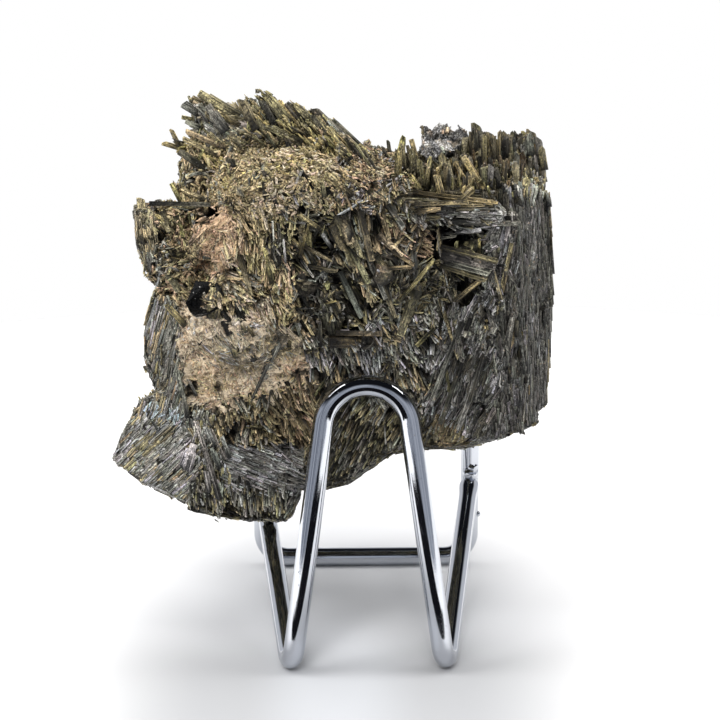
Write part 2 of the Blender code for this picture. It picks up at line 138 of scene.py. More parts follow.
def stone_colours():
    """The panel's colours of the specimen."""
    return bpy.context.scene.specimen_stone


# ---------------------------------------------------------------- camera rays


def camera_axes():
    """Right, up and forward of the camera in the stand's frame."""
    right = Vector((math.cos(CAMERA_YAW), math.sin(CAMERA_YAW), 0))
    level = Vector((-math.sin(CAMERA_YAW), math.cos(CAMERA_YAW), 0))
    ahead = level * math.cos(CAMERA_PITCH) + Vector((0, 0, -math.sin(CAMERA_PITCH)))
    upward = level * math.sin(CAMERA_PITCH) + Vector((0, 0, math.cos(CAMERA_PITCH)))
    rolled_right = right * math.cos(CAMERA_ROLL) + upward * math.sin(CAMERA_ROLL)
    rolled_up = upward * math.cos(CAMERA_ROLL) - right * math.sin(CAMERA_ROLL)
    return rolled_right, rolled_up, ahead


def view_ray(u, v):
    """The direction from the camera through an image place, u to the right and v down."""
    right, upward, ahead = camera_axes()
    half = IMAGE_SIDE / 2
    return ahead + right * ((u - half) / FOCAL_PIXELS) - upward * ((v - half) / FOCAL_PIXELS)


def in_view(points):
    """Image places (u to the right, v down) of an array of stand points."""
    right, upward, ahead = (np.array(axis) for axis in camera_axes())
    q = points - np.array(CAMERA_PLACE)
    away = q @ ahead
    half = IMAGE_SIDE / 2
    return np.stack(
        (half + FOCAL_PIXELS * (q @ right) / away, half - FOCAL_PIXELS * (q @ upward) / away), 1
    )


# ---------------------------------------------------------------- meshes


def to_frame(points):
    """Stand millimetres as places in the shared frame."""
    return (np.asarray(points) + STAND_ORIGIN) * MM


def read(items, key, width=3, kind=float):
    """One property of all of a mesh's vertices, corners or faces, a row each."""
    values = np.empty(len(items) * width, dtype=kind)
    items.foreach_get(key, values)
    return values.reshape(-1, width) if width > 1 else values


def mesh_of(bm, name):
    """The finished bmesh as a mesh."""
    mesh = bpy.data.meshes.new(name)
    bm.to_mesh(mesh)
    bm.free()
    return mesh


def linked(name, data):
    """A new object in the scene."""
    made = bpy.data.objects.new(name, data)
    bpy.context.scene.collection.objects.link(made)
    return made


def piece_from(mesh, material, smooth=False):
    """Links a mesh drawn in stand millimetres as a finished piece that rides on the root."""
    mesh.vertices.foreach_set("co", to_frame(read(mesh.vertices, "co")).ravel())
    mesh.update()
    mesh.materials.append(material)
    if smooth:
        mesh.shade_smooth()
    else:
        mesh.shade_flat()
    piece = linked(mesh.name, mesh)
    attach(piece, "root")
    return piece


def cut_flat(bm, point, normal):
    """Slices a closed shape with a plane and closes it again."""
    cut = bmesh.ops.bisect_plane(
        bm, geom=list(bm.verts) + list(bm.edges) + list(bm.faces),
        plane_co=Vector(point), plane_no=Vector(normal).normalized(), clear_outer=True,
    )
    rim = [item for item in cut["geom_cut"] if isinstance(item, bmesh.types.BMEdge)]
    if rim:
        bmesh.ops.holes_fill(bm, edges=rim, sides=0)


# ---------------------------------------------------------------- crystal shapes

TEMPLATE_LENGTH = 4.0  # in widths
ROOT_END = 0.4  # corners below this share of the length move with the root, others with the tip
FACES_APART = 7.3  # keeps the striae of one crystal's faces from matching
CRYSTALS_APART = 90.0  # and those of different crystals
STEP_LENGTH = 0.8  # of the thinner end of a stepped crystal


class Shape:
    """A small closed crystal: where its corners lie across, through and along it."""

    def __init__(self, bm):
        bmesh.ops.recalc_face_normals(bm, faces=bm.faces)
        bm.verts.index_update()
        side_number = bm.faces.layers.int.new("side")
        self.sides = []
        for number, face in enumerate(bm.faces):
            face[side_number] = number
            flat = Vector((face.normal.x, face.normal.y))
            end = abs(face.normal.z) > 0.8 or flat.length < 0.2
            rim = Vector((1, 0)) if end else Vector((-flat.y, flat.x)).normalized()
            self.sides.append(([v.index for v in face.verts], rim.x, rim.y, end))
        bmesh.ops.triangulate(bm, faces=bm.faces)
        places = np.array([v.co[:] for v in bm.verts])
        root = places[:, 2] < TEMPLATE_LENGTH * ROOT_END
        self.across = places[:, 0]
        self.thick = places[:, 1]
        self.reach = np.where(root, 0.0, 1.0)
        self.drop = np.where(root, -places[:, 2], TEMPLATE_LENGTH - places[:, 2])
        self.faces = np.array([[v.index for v in f.verts] for f in bm.faces])
        self.owner = np.array([f[side_number] for f in bm.faces])
        bm.free()

    def laid_out(self, x, y, z, luck):
        """Per corner of many such crystals: place in the striae, and distances from the edges."""
        striae, rims = [], []
        for number, (ring, rim_x, rim_y, end) in enumerate(self.sides):
            mine = self.faces[self.owner == number]
            u_ring = x[:, ring] * rim_x + y[:, ring] * rim_y
            middle = (u_ring.max(1) + u_ring.min(1)) / 2
            half = np.zeros(len(x)) if end else (u_ring.max(1) - u_ring.min(1)) / 2
            u = x[:, mine] * rim_x + y[:, mine] * rim_y
            v = y[:, mine] if end else z[:, mine]
            own = np.broadcast_to(luck[:, None, None] * CRYSTALS_APART, u.shape)
            striae.append(np.stack((u + number * FACES_APART, own, v), -1))
            offset = np.zeros(u.shape) if end else u - middle[:, None, None]
            rims.append(np.stack(
                (offset, np.broadcast_to(half[:, None, None], u.shape), -z[:, mine]), -1))
        order = np.argsort(np.argsort(self.owner, kind="stable"), kind="stable")
        return np.concatenate(striae, 1)[:, order], np.concatenate(rims, 1)[:, order]


def prism(sides, taper, cuts, turn=0.0):
    """A prism of one width, with its tip cut by planes given as (slope, turn, drop)."""
    bm = bmesh.new()
    bmesh.ops.create_cone(
        bm, cap_ends=True, segments=sides, radius1=0.5, radius2=0.5 * taper,
        depth=TEMPLATE_LENGTH, matrix=Matrix.Translation((0, 0, TEMPLATE_LENGTH / 2)),
    )
    bmesh.ops.transform(bm, matrix=Matrix.Rotation(turn, 4, "Z"), verts=bm.verts)
    for slope, way, drop in cuts:
        lean = Vector((math.cos(way) * slope, math.sin(way) * slope, 1))
        cut_flat(bm, (0, 0, TEMPLATE_LENGTH - drop), lean)
    return Shape(bm)


def stepped_prism(sides, taper):
    """A prism whose end is drawn in by a small step, as if a thinner crystal goes on from it."""
    bm = bmesh.new()
    bmesh.ops.create_cone(
        bm, cap_ends=True, segments=sides, radius1=0.5, radius2=0.48,
        depth=TEMPLATE_LENGTH - STEP_LENGTH,
        matrix=Matrix.Translation((0, 0, (TEMPLATE_LENGTH - STEP_LENGTH) / 2)),
    )
    bm.faces.ensure_lookup_table()
    lid = max(bm.faces, key=lambda f: f.calc_center_median().z)
    bmesh.ops.inset_individual(bm, faces=[lid], thickness=0.1, use_even_offset=True)
    grown = bmesh.ops.extrude_discrete_faces(bm, faces=[lid])["faces"]
    bmesh.ops.translate(bm, vec=(0, 0, STEP_LENGTH), verts=grown[0].verts)
    bmesh.ops.scale(bm, vec=(taper, taper, 1), verts=grown[0].verts)
    return Shape(bm)


def crystal_shapes():
    """The crystals that the layers repeat, by habit."""
    blades = [
        prism(4, 0.85, [(0.9, 0.8, 0.3)]),
        prism(4, 0.80, [(1.1, 0.3, 0.35)], turn=0.78),
        prism(5, 0.86, [(1.0, 0.3, 0.3)]),
        prism(4, 0.90, [(0.5, 1.9, 0.1)], turn=0.6),
        prism(4, 0.55, []),
        prism(5, 0.72, [(1.5, 1.2, 0.5)]),
    ]
    columns = [
        prism(6, 0.97, [(0.45, 0.6, 0.15)]),
        prism(5, 0.95, [(0.7, 2.2, 0.25)]),
        prism(4, 0.96, [(0.3, 4.0, 0.1)], turn=0.78),
        stepped_prism(5, 0.9),
    ]
    slats = [
        prism(4, 0.92, [(0.6, 0.8, 0.2)]),
        prism(4, 0.85, [(1.0, 2.4, 0.3)], turn=0.78),
        prism(3, 0.90, [(0.5, 0.3, 0.2)], turn=0.5),
        prism(4, 0.60, []),
    ]
    spears = [
        prism(4, 0.90, [(1.2, 0.4, 0.35), (1.2, 3.5, 0.4)]),
        prism(5, 0.80, [(1.4, 1.0, 0.45), (1.3, 4.2, 0.4)]),
        prism(4, 0.72, [(1.6, 0.2, 0.6), (0.9, 3.0, 0.3)], turn=0.6),
        prism(5, 0.95, [(0.8, 0.2, 0.2)]),
    ]
    needles = [
        prism(3, 0.35, []),
        prism(4, 0.4, []),
        prism(3, 0.7, [(1.2, 0.5, 0.4)]),
    ]
    return {"blade": blades, "column": columns, "slat": slats, "spear": spears,
            "needle": needles}


# A crystal is one row of numbers; these are their places in it. Its dust comes with its tint,
# DEEP is how far down its shade reaches, and LUCK is a number for its own pattern.
SHAPE, LENGTH, WIDTH, THICKNESS, DEEP, LUCK = 0, 10, 11, 12, 17, 18
TIP, ALONG, ACROSS, TINT = slice(1, 4), slice(4, 7), slice(7, 10), slice(13, 17)


def crystals_mesh(name, table, shapes):
    """One mesh of all the crystals in the table."""
    spots, tints, grows, faces, striae, rims = [], [], [], [], [], []
    base = 0
    for index, shape in enumerate(shapes):
        rows = table[table[:, SHAPE].astype(int) == index]
        if not len(rows):
            continue
        count = len(shape.across)
        tip, along, across = rows[:, None, TIP], rows[:, None, ALONG], rows[:, None, ACROSS]
        other = np.cross(along, across)
        deep = rows[:, DEEP, None]
        x = shape.across * rows[:, WIDTH, None]
        y = shape.thick * rows[:, THICKNESS, None]
        z = (shape.reach - 1) * rows[:, LENGTH, None] - shape.drop * rows[:, WIDTH, None]
        spot = tip + across * x[:, :, None] + other * y[:, :, None] + along * z[:, :, None]
        spots.append(spot.reshape(-1, 3))
        tints.append(np.repeat(rows[:, TINT], count, axis=0))
        grows.append((deep + shape.reach * (1 - deep)).ravel())
        first = base + np.arange(len(rows)) * count
        faces.append((first[:, None, None] + shape.faces).reshape(-1, 3))
        base += len(rows) * count
        stria, rim = shape.laid_out(x, y, z, rows[:, LUCK])
        striae.append(stria.reshape(-1, 3))
        rims.append(rim.reshape(-1, 3))
    faces = np.concatenate(faces)
    mesh = bpy.data.meshes.new(name)
    mesh.vertices.add(base)
    mesh.vertices.foreach_set("co", np.concatenate(spots).ravel())
    mesh.loops.add(faces.size)
    mesh.loops.foreach_set("vertex_index", faces.ravel().astype(np.int32))
    mesh.polygons.add(len(faces))
    mesh.polygons.foreach_set("loop_start", np.arange(len(faces), dtype=np.int32) * 3)
    paint_marks(mesh, *(np.concatenate(part) for part in (tints, grows, striae, rims)))
    mesh.update(calc_edges=True)
    mesh.validate()
    return mesh


def paint_marks(mesh, tints, grows, striae, rims):
    """Gives a mesh what the crystals' material reads.

    tint is the colour, with the dust as its fourth number; grow runs from nothing at the root to
    one at the tip and sets the painted shade towards the root; grain is the place in the striae,
    and rim the distances from the edges, which set the painted shade and highlight along them.
    """
    for name, kind, domain, key, values in (
            ("tint", "FLOAT_COLOR", "POINT", "color", tints),
            ("grow", "FLOAT", "POINT", "value", grows),
            ("grain", "FLOAT_VECTOR", "CORNER", "vector", striae),
            ("rim", "FLOAT_VECTOR", "CORNER", "vector", rims)):
        mesh.attributes.new(name, kind, domain).data.foreach_set(key, values.ravel())


# ---------------------------------------------------------------- the specimen underneath

# Any direction does: a ray that leaves the solid through its next face started inside it.
PROBE = Vector((0.31, 0.93, 0.19)).normalized()


class Rock:
    """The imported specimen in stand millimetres, with what rooting crystals on it needs."""

    def __init__(self):
        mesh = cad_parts["epidote"].data
        mesh.calc_loop_triangles()
        self.places = read(mesh.vertices, "co") / MM - STAND_ORIGIN
        self.corners = read(mesh.loop_triangles, "vertices", kind=np.int32)
        a, b, c = (self.places[self.corners[:, k]] for k in range(3))
        cross = np.cross(b - a, c - a)
        size = np.linalg.norm(cross, axis=1)
        self.areas = size / 2
        self.normals = cross / np.maximum(size, 1e-12)[:, None]
        self.tree = BVHTree.FromPolygons(
            [Vector(p) for p in self.places], [tuple(int(i) for i in t) for t in self.corners]
        )

    def scatter(self, count, dice):
        """Points spread evenly over the whole surface, with the surface direction at each."""
        order = np.argsort(self.places[self.corners[:, 0], 2], kind="stable")
        heap = np.cumsum(self.areas[order])
        marks = (np.arange(count) + dice.random(count)) / count * heap[-1]
        pick = order[np.minimum(np.searchsorted(heap, marks), len(order) - 1)]
        first = np.sqrt(dice.random(count))[:, None]
        second = dice.random(count)[:, None]
        a, b, c = (self.places[self.corners[pick, k]] for k in range(3))
        spots = a * (1 - first) + b * first * (1 - second) + c * first * second
        return spots, self.normals[pick]

    def seen(self, spots):
        """Which of the points the camera sees."""
        eye = Vector(CAMERA_PLACE)
        clear = []
        for spot in spots:
            ray = Vector(spot) - eye
            hit = self.tree.ray_cast(eye, ray.normalized(), ray.length - 0.3)
            clear.append(hit[0] is None)
        return np.array(clear)

    def at_pixel(self, u, v):
        """The surface point under an image place, or None."""
        return self.tree.ray_cast(Vector(CAMERA_PLACE), view_ray(u, v).normalized())[0]

    def standing_out(self, spot):
        """How far a point is outside the surface, or nothing inside it."""
        place = Vector(spot)
        _, normal, _, _ = self.tree.ray_cast(place, PROBE)
        if normal is not None and normal.dot(PROBE) > 0:
            return 0.0
        return self.tree.find_nearest(place)[3]


# ---------------------------------------------------------------- wires


LOOP_STEPS = 14  # points on half of the front loop's bend
SMALL_BEND_STEPS = 10
LARGE_BEND_STEPS = 16
FOOT_TRIES = 20  # each try brings the feet nearer to the table
CLOSE_ENOUGH = 0.001


def rounded_corner(before, corner, after, radius, pieces):
    """Points of the arc that rounds one corner of a wire's path."""
    back = (before - corner).normalized()
    ahead = (after - corner).normalized()
    half = back.angle(ahead) / 2
    centre = corner + (back + ahead).normalized() * (radius / math.sin(half))
    start = corner + back * (radius / math.tan(half)) - centre
    stop = corner + ahead * (radius / math.tan(half)) - centre
    axis = start.cross(stop).normalized()
    return [
        centre + Matrix.Rotation(start.angle(stop) * k / pieces, 3, axis) @ start
        for k in range(pieces + 1)
    ]


def front_wire_path():
    """Centre line of the front wire, from the left arm's end over the loop to the right one's."""
    s = stand_sizes()
    radius, half_feet, bend = s.wire_radius / MM, s.feet_half_spacing / MM, s.loop_bend / MM
    arm_end = Vector((s.rear_half_width / MM, s.rear_y / MM, s.arm_end_z / MM))
    top = Vector((0, s.loop_top_y / MM, s.loop_top_z / MM))
    foot_drop = 0.0
    path = []
    for _ in range(FOOT_TRIES):
        base = Vector((0, 0, radius - foot_drop))
        rise = top - base
        upward = rise.normalized()
        bend_height = rise.length - bend
        reach = math.hypot(half_feet, bend_height)
        lean = math.atan2(bend_height, -half_feet) - math.asin(bend / reach)
        tangent = lean - math.pi / 2
        middle = base + upward * bend_height
        side = Vector((1, 0, 0))
        path = []
        for k in range(LOOP_STEPS + 1):
            angle = math.pi / 2 + (tangent - math.pi / 2) * k / LOOP_STEPS
            path.append(middle + (side * math.cos(angle) + upward * math.sin(angle)) * bend)
        corner = base + side * half_feet
        path += rounded_corner(path[-1], corner, arm_end, s.foot_bend / MM, SMALL_BEND_STEPS)
        miss = min(point.z for point in path) - radius
        foot_drop += miss
        if abs(miss) < CLOSE_ENOUGH:
            break
    path.append(arm_end)
    return [Vector((-p.x, p.y, p.z)) for p in reversed(path[1:])] + path


def rear_wire_path():
    """Centre line of the rear hoop, a closed ring."""
    s = stand_sizes()
    low = s.wire_radius / MM
    wide, back, high = s.rear_half_width / MM, s.rear_y / MM, s.rear_top_z / MM - low
    corners = [Vector(place) for place in (
        (-wide, back, low), (wide, back, low), (wide, back, high), (-wide, back, high))]
    lower = (s.rear_lower_bend / MM, SMALL_BEND_STEPS)
    upper = (s.rear_upper_bend / MM, LARGE_BEND_STEPS)
    path = []
    for k, bend in enumerate((lower, lower, upper, upper)):
        path += rounded_corner(corners[k - 1], corners[k], corners[(k + 1) % 4], *bend)
    return path


def wire_lines():
    """Start and end points of every straight bit of both wires' centre lines."""
    front = front_wire_path()
    rear = rear_wire_path()
    pairs = list(zip(front, front[1:])) + list(zip(rear, rear[1:] + rear[:1]))
    return np.array([a for a, _ in pairs]), np.array([b for _, b in pairs])


def gap_to_wires(spots, lines):
    """Distance from each point to the nearest wire centre line."""
    nearest = np.full(len(spots), 1e9)
    for a, b in zip(*lines):
        run = b - a
        share = np.clip((spots - a) @ run / max(run @ run, 1e-9), 0, 1)
        gap = np.linalg.norm(spots - a - share[:, None] * run, axis=1)
        nearest = np.minimum(nearest, gap)
    return nearest


def refined(path, closed, longest):
    """The same path with extra points on long straights."""
    ends = list(zip(path, path[1:] + ([path[0]] if closed else [])))
    fine = []
    for a, b in ends:
        pieces = max(1, math.ceil((b - a).length / longest))
        fine += [a.lerp(b, k / pieces) for k in range(pieces)]
    if not closed:
        fine.append(path[-1])
    return fine


WIRE_SIDES = 28


def round_wire(path, closed, swell):
    """A round wire along a path; swell(point) gives the radius at each point."""
    bm = bmesh.new()
    rings = []
    count = len(path)
    across = Vector((0.0, 1.0, 0.0)) if closed else Vector((0.0, 0.0, 1.0))
    for k, point in enumerate(path):
        before = path[k - 1] if k or closed else path[0]
        after = path[(k + 1) % count] if k + 1 < count or closed else path[-1]
        along = (after - before).normalized()
        across = (across - along * across.dot(along)).normalized()
        other = along.cross(across)
        turn = Matrix((other, across, along)).transposed().to_4x4()
        rings.append(bmesh.ops.create_circle(
            bm, segments=WIRE_SIDES, radius=swell(point),
            matrix=Matrix.Translation(point) @ turn)["verts"])
    pairs = list(zip(rings, rings[1:]))
    if closed:
        pairs.append((rings[-1], rings[0]))
    for near, far in pairs:
        for side in range(WIRE_SIDES):
            nxt = (side + 1) % WIRE_SIDES
            bm.faces.new((near[side], near[nxt], far[nxt], far[side]))
    if not closed:
        bm.faces.new(rings[0])
        bm.faces.new(rings[-1])
    bmesh.ops.recalc_face_normals(bm, faces=bm.faces)
    return bm


def weld_lump(bm, place, size):
    """An uneven drop of solder."""
    made = bmesh.ops.create_icosphere(
        bm, subdivisions=2, radius=size, matrix=Matrix.Translation(place))["verts"]
    for vert in made:
        vert.co += (vert.co - place) * 0.35 * noise.noise(vert.co * 1.3)


# ---------------------------------------------------------------- shader maths


def forward(operation):
    return lambda self, other: self.paint.math(operation, self, other)


def reflected(operation):
    return lambda self, other: self.paint.math(operation, other, self)


class Value:
    """A socket that takes part in sums; Python's operators add the nodes."""

    def __init__(self, paint, socket):
        self.paint = paint
        self.socket = socket

    __add__, __radd__ = forward("ADD"), reflected("ADD")
    __sub__, __rsub__ = forward("SUBTRACT"), reflected("SUBTRACT")
    __mul__, __rmul__ = forward("MULTIPLY"), reflected("MULTIPLY")
    __truediv__, __rtruediv__ = forward("DIVIDE"), reflected("DIVIDE")


# Where a Mix node keeps its share, its two colours and its result.
MIX_SHARE, MIX_FIRST, MIX_SECOND, MIX_RESULT = 0, 6, 7, 2


class Nodes:
    """Adds nodes to one tree and joins them up."""

    def __init__(self, tree):
        self.tree = tree

    def node(self, kind, settings=None, inputs=None, out=0):
        """Adds a node: settings first, then values or links of its sockets.

        Gives the named or numbered output, or without one the node itself.
        """
        made = self.tree.nodes.new(kind)
        for key, value in (settings or {}).items():
            setattr(made, key, value)
        for key, value in (inputs or {}).items():
            self.feed(made.inputs[key], value)
        return made if out is None else Value(self, made.outputs[out])

    def feed(self, socket, value):
        if isinstance(value, Value):
            self.tree.links.new(value.socket, socket)
        else:
            socket.default_value = (*value, 1.0) if socket.type == "RGBA" else value

    def math(self, operation, *values):
        return self.node("ShaderNodeMath", {"operation": operation}, dict(enumerate(values)))

    def vector(self, operation, *values):
        return self.node("ShaderNodeVectorMath", {"operation": operation},
                         dict(enumerate(values)))

    def stretched(self, place, amounts):
        return self.vector("MULTIPLY", place, amounts)

    def scaled(self, colour, amount):
        """A colour made brighter or darker by a value."""
        return self.node("ShaderNodeVectorMath", {"operation": "SCALE"},
                         {0: colour, "Scale": amount})

    def parts(self, vector):
        """The three numbers of a vector."""
        made = self.node("ShaderNodeSeparateXYZ", None, {0: vector}, None)
        return [Value(self, socket) for socket in made.outputs]

    def attribute(self, name, *outs):
        made = self.node("ShaderNodeAttribute", {"attribute_name": name}, None, None)
        return [Value(self, made.outputs[out]) for out in outs]

    def object_place(self):
        """Where a point is on the object, in millimetres."""
        return self.stretched(self.node("ShaderNodeTexCoord", out="Object"), (1 / MM,) * 3)

    def noise(self, place, scale=1.0, detail=2.0, roughness=0.5, out="Fac"):
        return self.node(
            "ShaderNodeTexNoise", {"noise_dimensions": "3D"},
            {"Vector": place, "Scale": scale, "Detail": detail, "Roughness": roughness}, out)

    def cells(self, place, scale=1.0, feature="F1", out="Distance"):
        return self.node(
            "ShaderNodeTexVoronoi", {"voronoi_dimensions": "3D", "feature": feature},
            {"Vector": place, "Scale": scale}, out)

    def between(self, value, low, high, to_low=0.0, to_high=1.0):
        """A smooth step from one level to another."""
        return self.node(
            "ShaderNodeMapRange", {"interpolation_type": "SMOOTHSTEP"},
            {"Value": value, "From Min": low, "From Max": high,
             "To Min": to_low, "To Max": to_high})

    def mixed(self, share, first, second, blend="MIX"):
        """Mixes two colours."""
        return self.node(
            "ShaderNodeMix", {"data_type": "RGBA", "blend_type": blend},
            {MIX_SHARE: share, MIX_FIRST: first, MIX_SECOND: second}, MIX_RESULT)

    def bump(self, height, distance_mm, strength=1.0):
        return self.node("ShaderNodeBump", None, {
            "Height": height, "Distance": distance_mm * MM, "Strength": strength}, "Normal")


class Paint(Nodes):
    """Builds one material: constants of its shader first, then what varies."""

    def __init__(self, name, **constants):
        self.material = bpy.data.materials.new(name)
        self.material.use_nodes = True
        super().__init__(self.material.node_tree)
        self.finish(**constants)

    def finish(self, **sockets):
        shader = self.tree.nodes["Principled BSDF"]
        for name, value in sockets.items():
            self.feed(shader.inputs[name.replace("_", " ")], value)
        return self.material


def facing_up(p):
    """One on faces that look up, nothing on those that look down."""
    normal = p.node("ShaderNodeNewGeometry", out="Normal")
    return p.between(p.parts(normal)[2], -0.1, 0.9)


SHADE_GAIN = 1.5  # makes up for the shade that striae, mottling and cracks take away
BRIGHTEST = 0.86  # no colour is drawn brighter, so that pale ones keep their hue


def crystal_material():
    """Striated faces with painted shade towards the root and along one edge, pale edges that are
    partly wear and partly painted highlight, mottling, dust and painted glints.
    """
    colours = stone_colours()
    p = Paint("crystal_faces", Specular_IOR_Level=0.5)
    where = p.object_place()
    tint, dusty = p.attribute("tint", "Color", "Alpha")
    red, green, _ = p.parts(tint)
    most = BRIGHTEST / p.math("MAXIMUM", red, green)
    grow, = p.attribute("grow", "Fac")
    grain, = p.attribute("grain", "Vector")
    offset, half, from_tip = p.parts(*p.attribute("rim", "Vector"))
    side_face = p.between(half, 0.01, 0.04)
    lines = p.noise(p.stretched(grain, (3.4, 3.4, 0.16)), 1.0, 3.0, 0.68)
    blotch = p.noise(where, 0.45, 3.0, 0.55)
    mottle = p.noise(where, 2.9, 3.0, 0.72)
    striae = p.between(lines, 0.38, 0.62)
    speckle = p.between(mottle, 0.40, 0.60)
    depth = p.between(grow, 0.0, 0.95)
    sway = p.noise(p.stretched(grain, (0.8, 0.8, 0.4)), 1.0, 2.0, 0.6, out="Color")
    bent = p.vector("ADD", grain, p.scaled(p.vector("SUBTRACT", sway, (0.5, 0.5, 0.5)), 1.4))
    flake_place = p.stretched(bent, (1.25, 1.25, 0.42))
    flake = p.parts(p.cells(flake_place, out="Color"))[0]
    crack = p.between(p.cells(flake_place, feature="DISTANCE_TO_EDGE"), 0.0, 0.10)
    # Painted shade: the colour is drawn darker towards the root, on top of the crystal's own
    # striae, speckle, blotches, flakes and cracks.
    shade = (0.05 + 0.95 * depth) * (0.38 + 1.05 * striae) * (0.42 + 1.20 * speckle)
    shade = shade * (0.60 + 0.80 * p.between(blotch, 0.3, 0.7))
    shade = shade * (0.50 + 0.95 * flake) * (0.28 + 0.72 * crack)
    # Painted shade: one long edge of each side face is drawn darker, as if turned away from the
    # light.
    shade = shade * (1.0 - 0.72 * p.between(half + offset, 0.15, 0.02) * side_face)
    soft = p.between(dusty, 0.80, 1.0) * 0.4
    shade = shade * (1.0 - soft) + soft * (0.25 + 0.75 * depth)
    body = p.scaled(tint, p.math("MINIMUM", shade * SHADE_GAIN, most))
    # Partly wear, partly painted highlight: the other long edge of each side face and the tips are
    # drawn paler.
    worn_and_lit = p.between(half - offset, 0.18, 0.02) * (0.35 + 0.65 * p.between(lines, 0.25, 0.6))
    worn_and_lit = p.math("MAXIMUM", worn_and_lit, p.between(from_tip, 0.35, 0.0) * speckle)
    pale = p.scaled(tint, p.math("MINIMUM", most, 2.2 * SHADE_GAIN))
    pale = p.mixed(0.14, pale, tuple(colours.worn_and_lit))
    body = p.mixed(worn_and_lit * (0.05 + 0.75 * depth), body, pale)
    up = facing_up(p)
    dust_share = dusty * p.between(blotch, 0.38, 0.64) * (0.30 + 0.70 * up) * depth
    dust_share = dust_share * (0.35 + 0.65 * speckle)
    body = p.mixed(dust_share * 0.8, body, tuple(colours.dust), "LIGHTEN")
    speck = p.between(p.cells(where, 1.0), 0.20, 0.10) * p.between(blotch, 0.5, 0.62) * depth
    body = p.mixed(speck * 0.6, body, tuple(colours.pink))
    glint = p.between(p.cells(p.stretched(where, (1.6, 1.6, 1.6))), 0.16, 0.08) * depth
    glint = glint * p.between(mottle, 0.5, 0.6)
    body = p.mixed(glint * 0.8, body, (0.80, 0.78, 0.74))
    rough = 0.30 + 0.34 * speckle + 0.2 * dust_share
    height = striae * 0.7 + speckle * 0.5 + 0.6 * crack
    return p.finish(Base_Color=body, Roughness=rough, Normal=p.bump(height, 0.18))


def bright_wire_material():
    """Mirror plating with faint polishing lines and a few pits."""
    sizes = stand_sizes()
    p = Paint("bright_plating", Metallic=1.0)
    where = p.object_place()
    haze = p.noise(where, 0.35, 3.0, 0.5)
    fine = p.noise(where, 4.0, 2.0, 0.6)
    pits = p.between(p.cells(where, 0.55), 0.075, 0.03)
    body = p.mixed(p.between(haze, 0.45, 0.75) * 0.25, tuple(sizes.polish), (0.48, 0.49, 0.53))
    body = p.mixed(pits * 0.7, body, (0.16, 0.15, 0.15))
    rough = 0.05 + 0.05 * p.between(haze, 0.4, 0.7) + 0.35 * pits
    height = fine * 0.15 - 1.0 * pits
    return p.finish(Base_Color=body, Roughness=rough, Normal=p.bump(height, 0.03, 0.5))


# ---------------------------------------------------------------- how the crystals grow


def region(piece, grow, spread, lift, length, width, proud, density, mix, dust,
           habit="blade", flat=(0.3, 0.7), ground="gap", ridges=0.35, grit=0.35, sink=0.7,
           vary=0.36, light=1.0, under="dark", voids=0.0):
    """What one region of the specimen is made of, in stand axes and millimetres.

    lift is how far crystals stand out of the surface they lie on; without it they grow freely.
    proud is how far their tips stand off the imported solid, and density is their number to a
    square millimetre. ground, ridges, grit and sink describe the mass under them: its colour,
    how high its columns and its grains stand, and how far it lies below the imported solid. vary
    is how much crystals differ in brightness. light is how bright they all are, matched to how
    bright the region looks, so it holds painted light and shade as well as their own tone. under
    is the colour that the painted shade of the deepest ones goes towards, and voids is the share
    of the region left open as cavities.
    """
    return dict(piece=piece, grow=grow, spread=spread, lift=lift, length=length, width=width,
                proud=proud, density=density, mix=mix, dust=dust, habit=habit, flat=flat,
                ground=ground, ridges=ridges, grit=grit, sink=sink, vary=vary, light=light,
                under=under, voids=voids)


def striated(piece, grow, length, width, density, mix, dust, ground, spread=0.08,
             proud=(0.0, 0.22), ridges=0.3, grit=0.15, light=1.0, vary=0.18, sink=0.10,
             voids=0.0):
    """A flat face of parallel columns."""
    return region(piece, grow, spread, (0.0, 0.06), length, width, proud, density, mix, dust,
                  habit="slat", flat=(0.3, 0.6), ground=ground, ridges=ridges, grit=grit,
                  sink=sink, vary=vary, light=light, under=ground, voids=voids)


def matted(grow, mix, ground, light=1.0, proud=(-0.3, 0.7), under="tan", spread=1.2,
           length=(0.6, 2.0), width=(0.15, 0.5), voids=0.0):
    """A soft mass of matted pale splinters."""
    return region("pale", grow, spread, (0.0, 0.6), length, width, proud, 5.5, mix, 0.95,
                  habit="needle", flat=(0.4, 0.9), ground=ground, ridges=0.2, grit=1.3,
                  sink=0.35, light=light, under=under, vary=0.42, voids=voids)


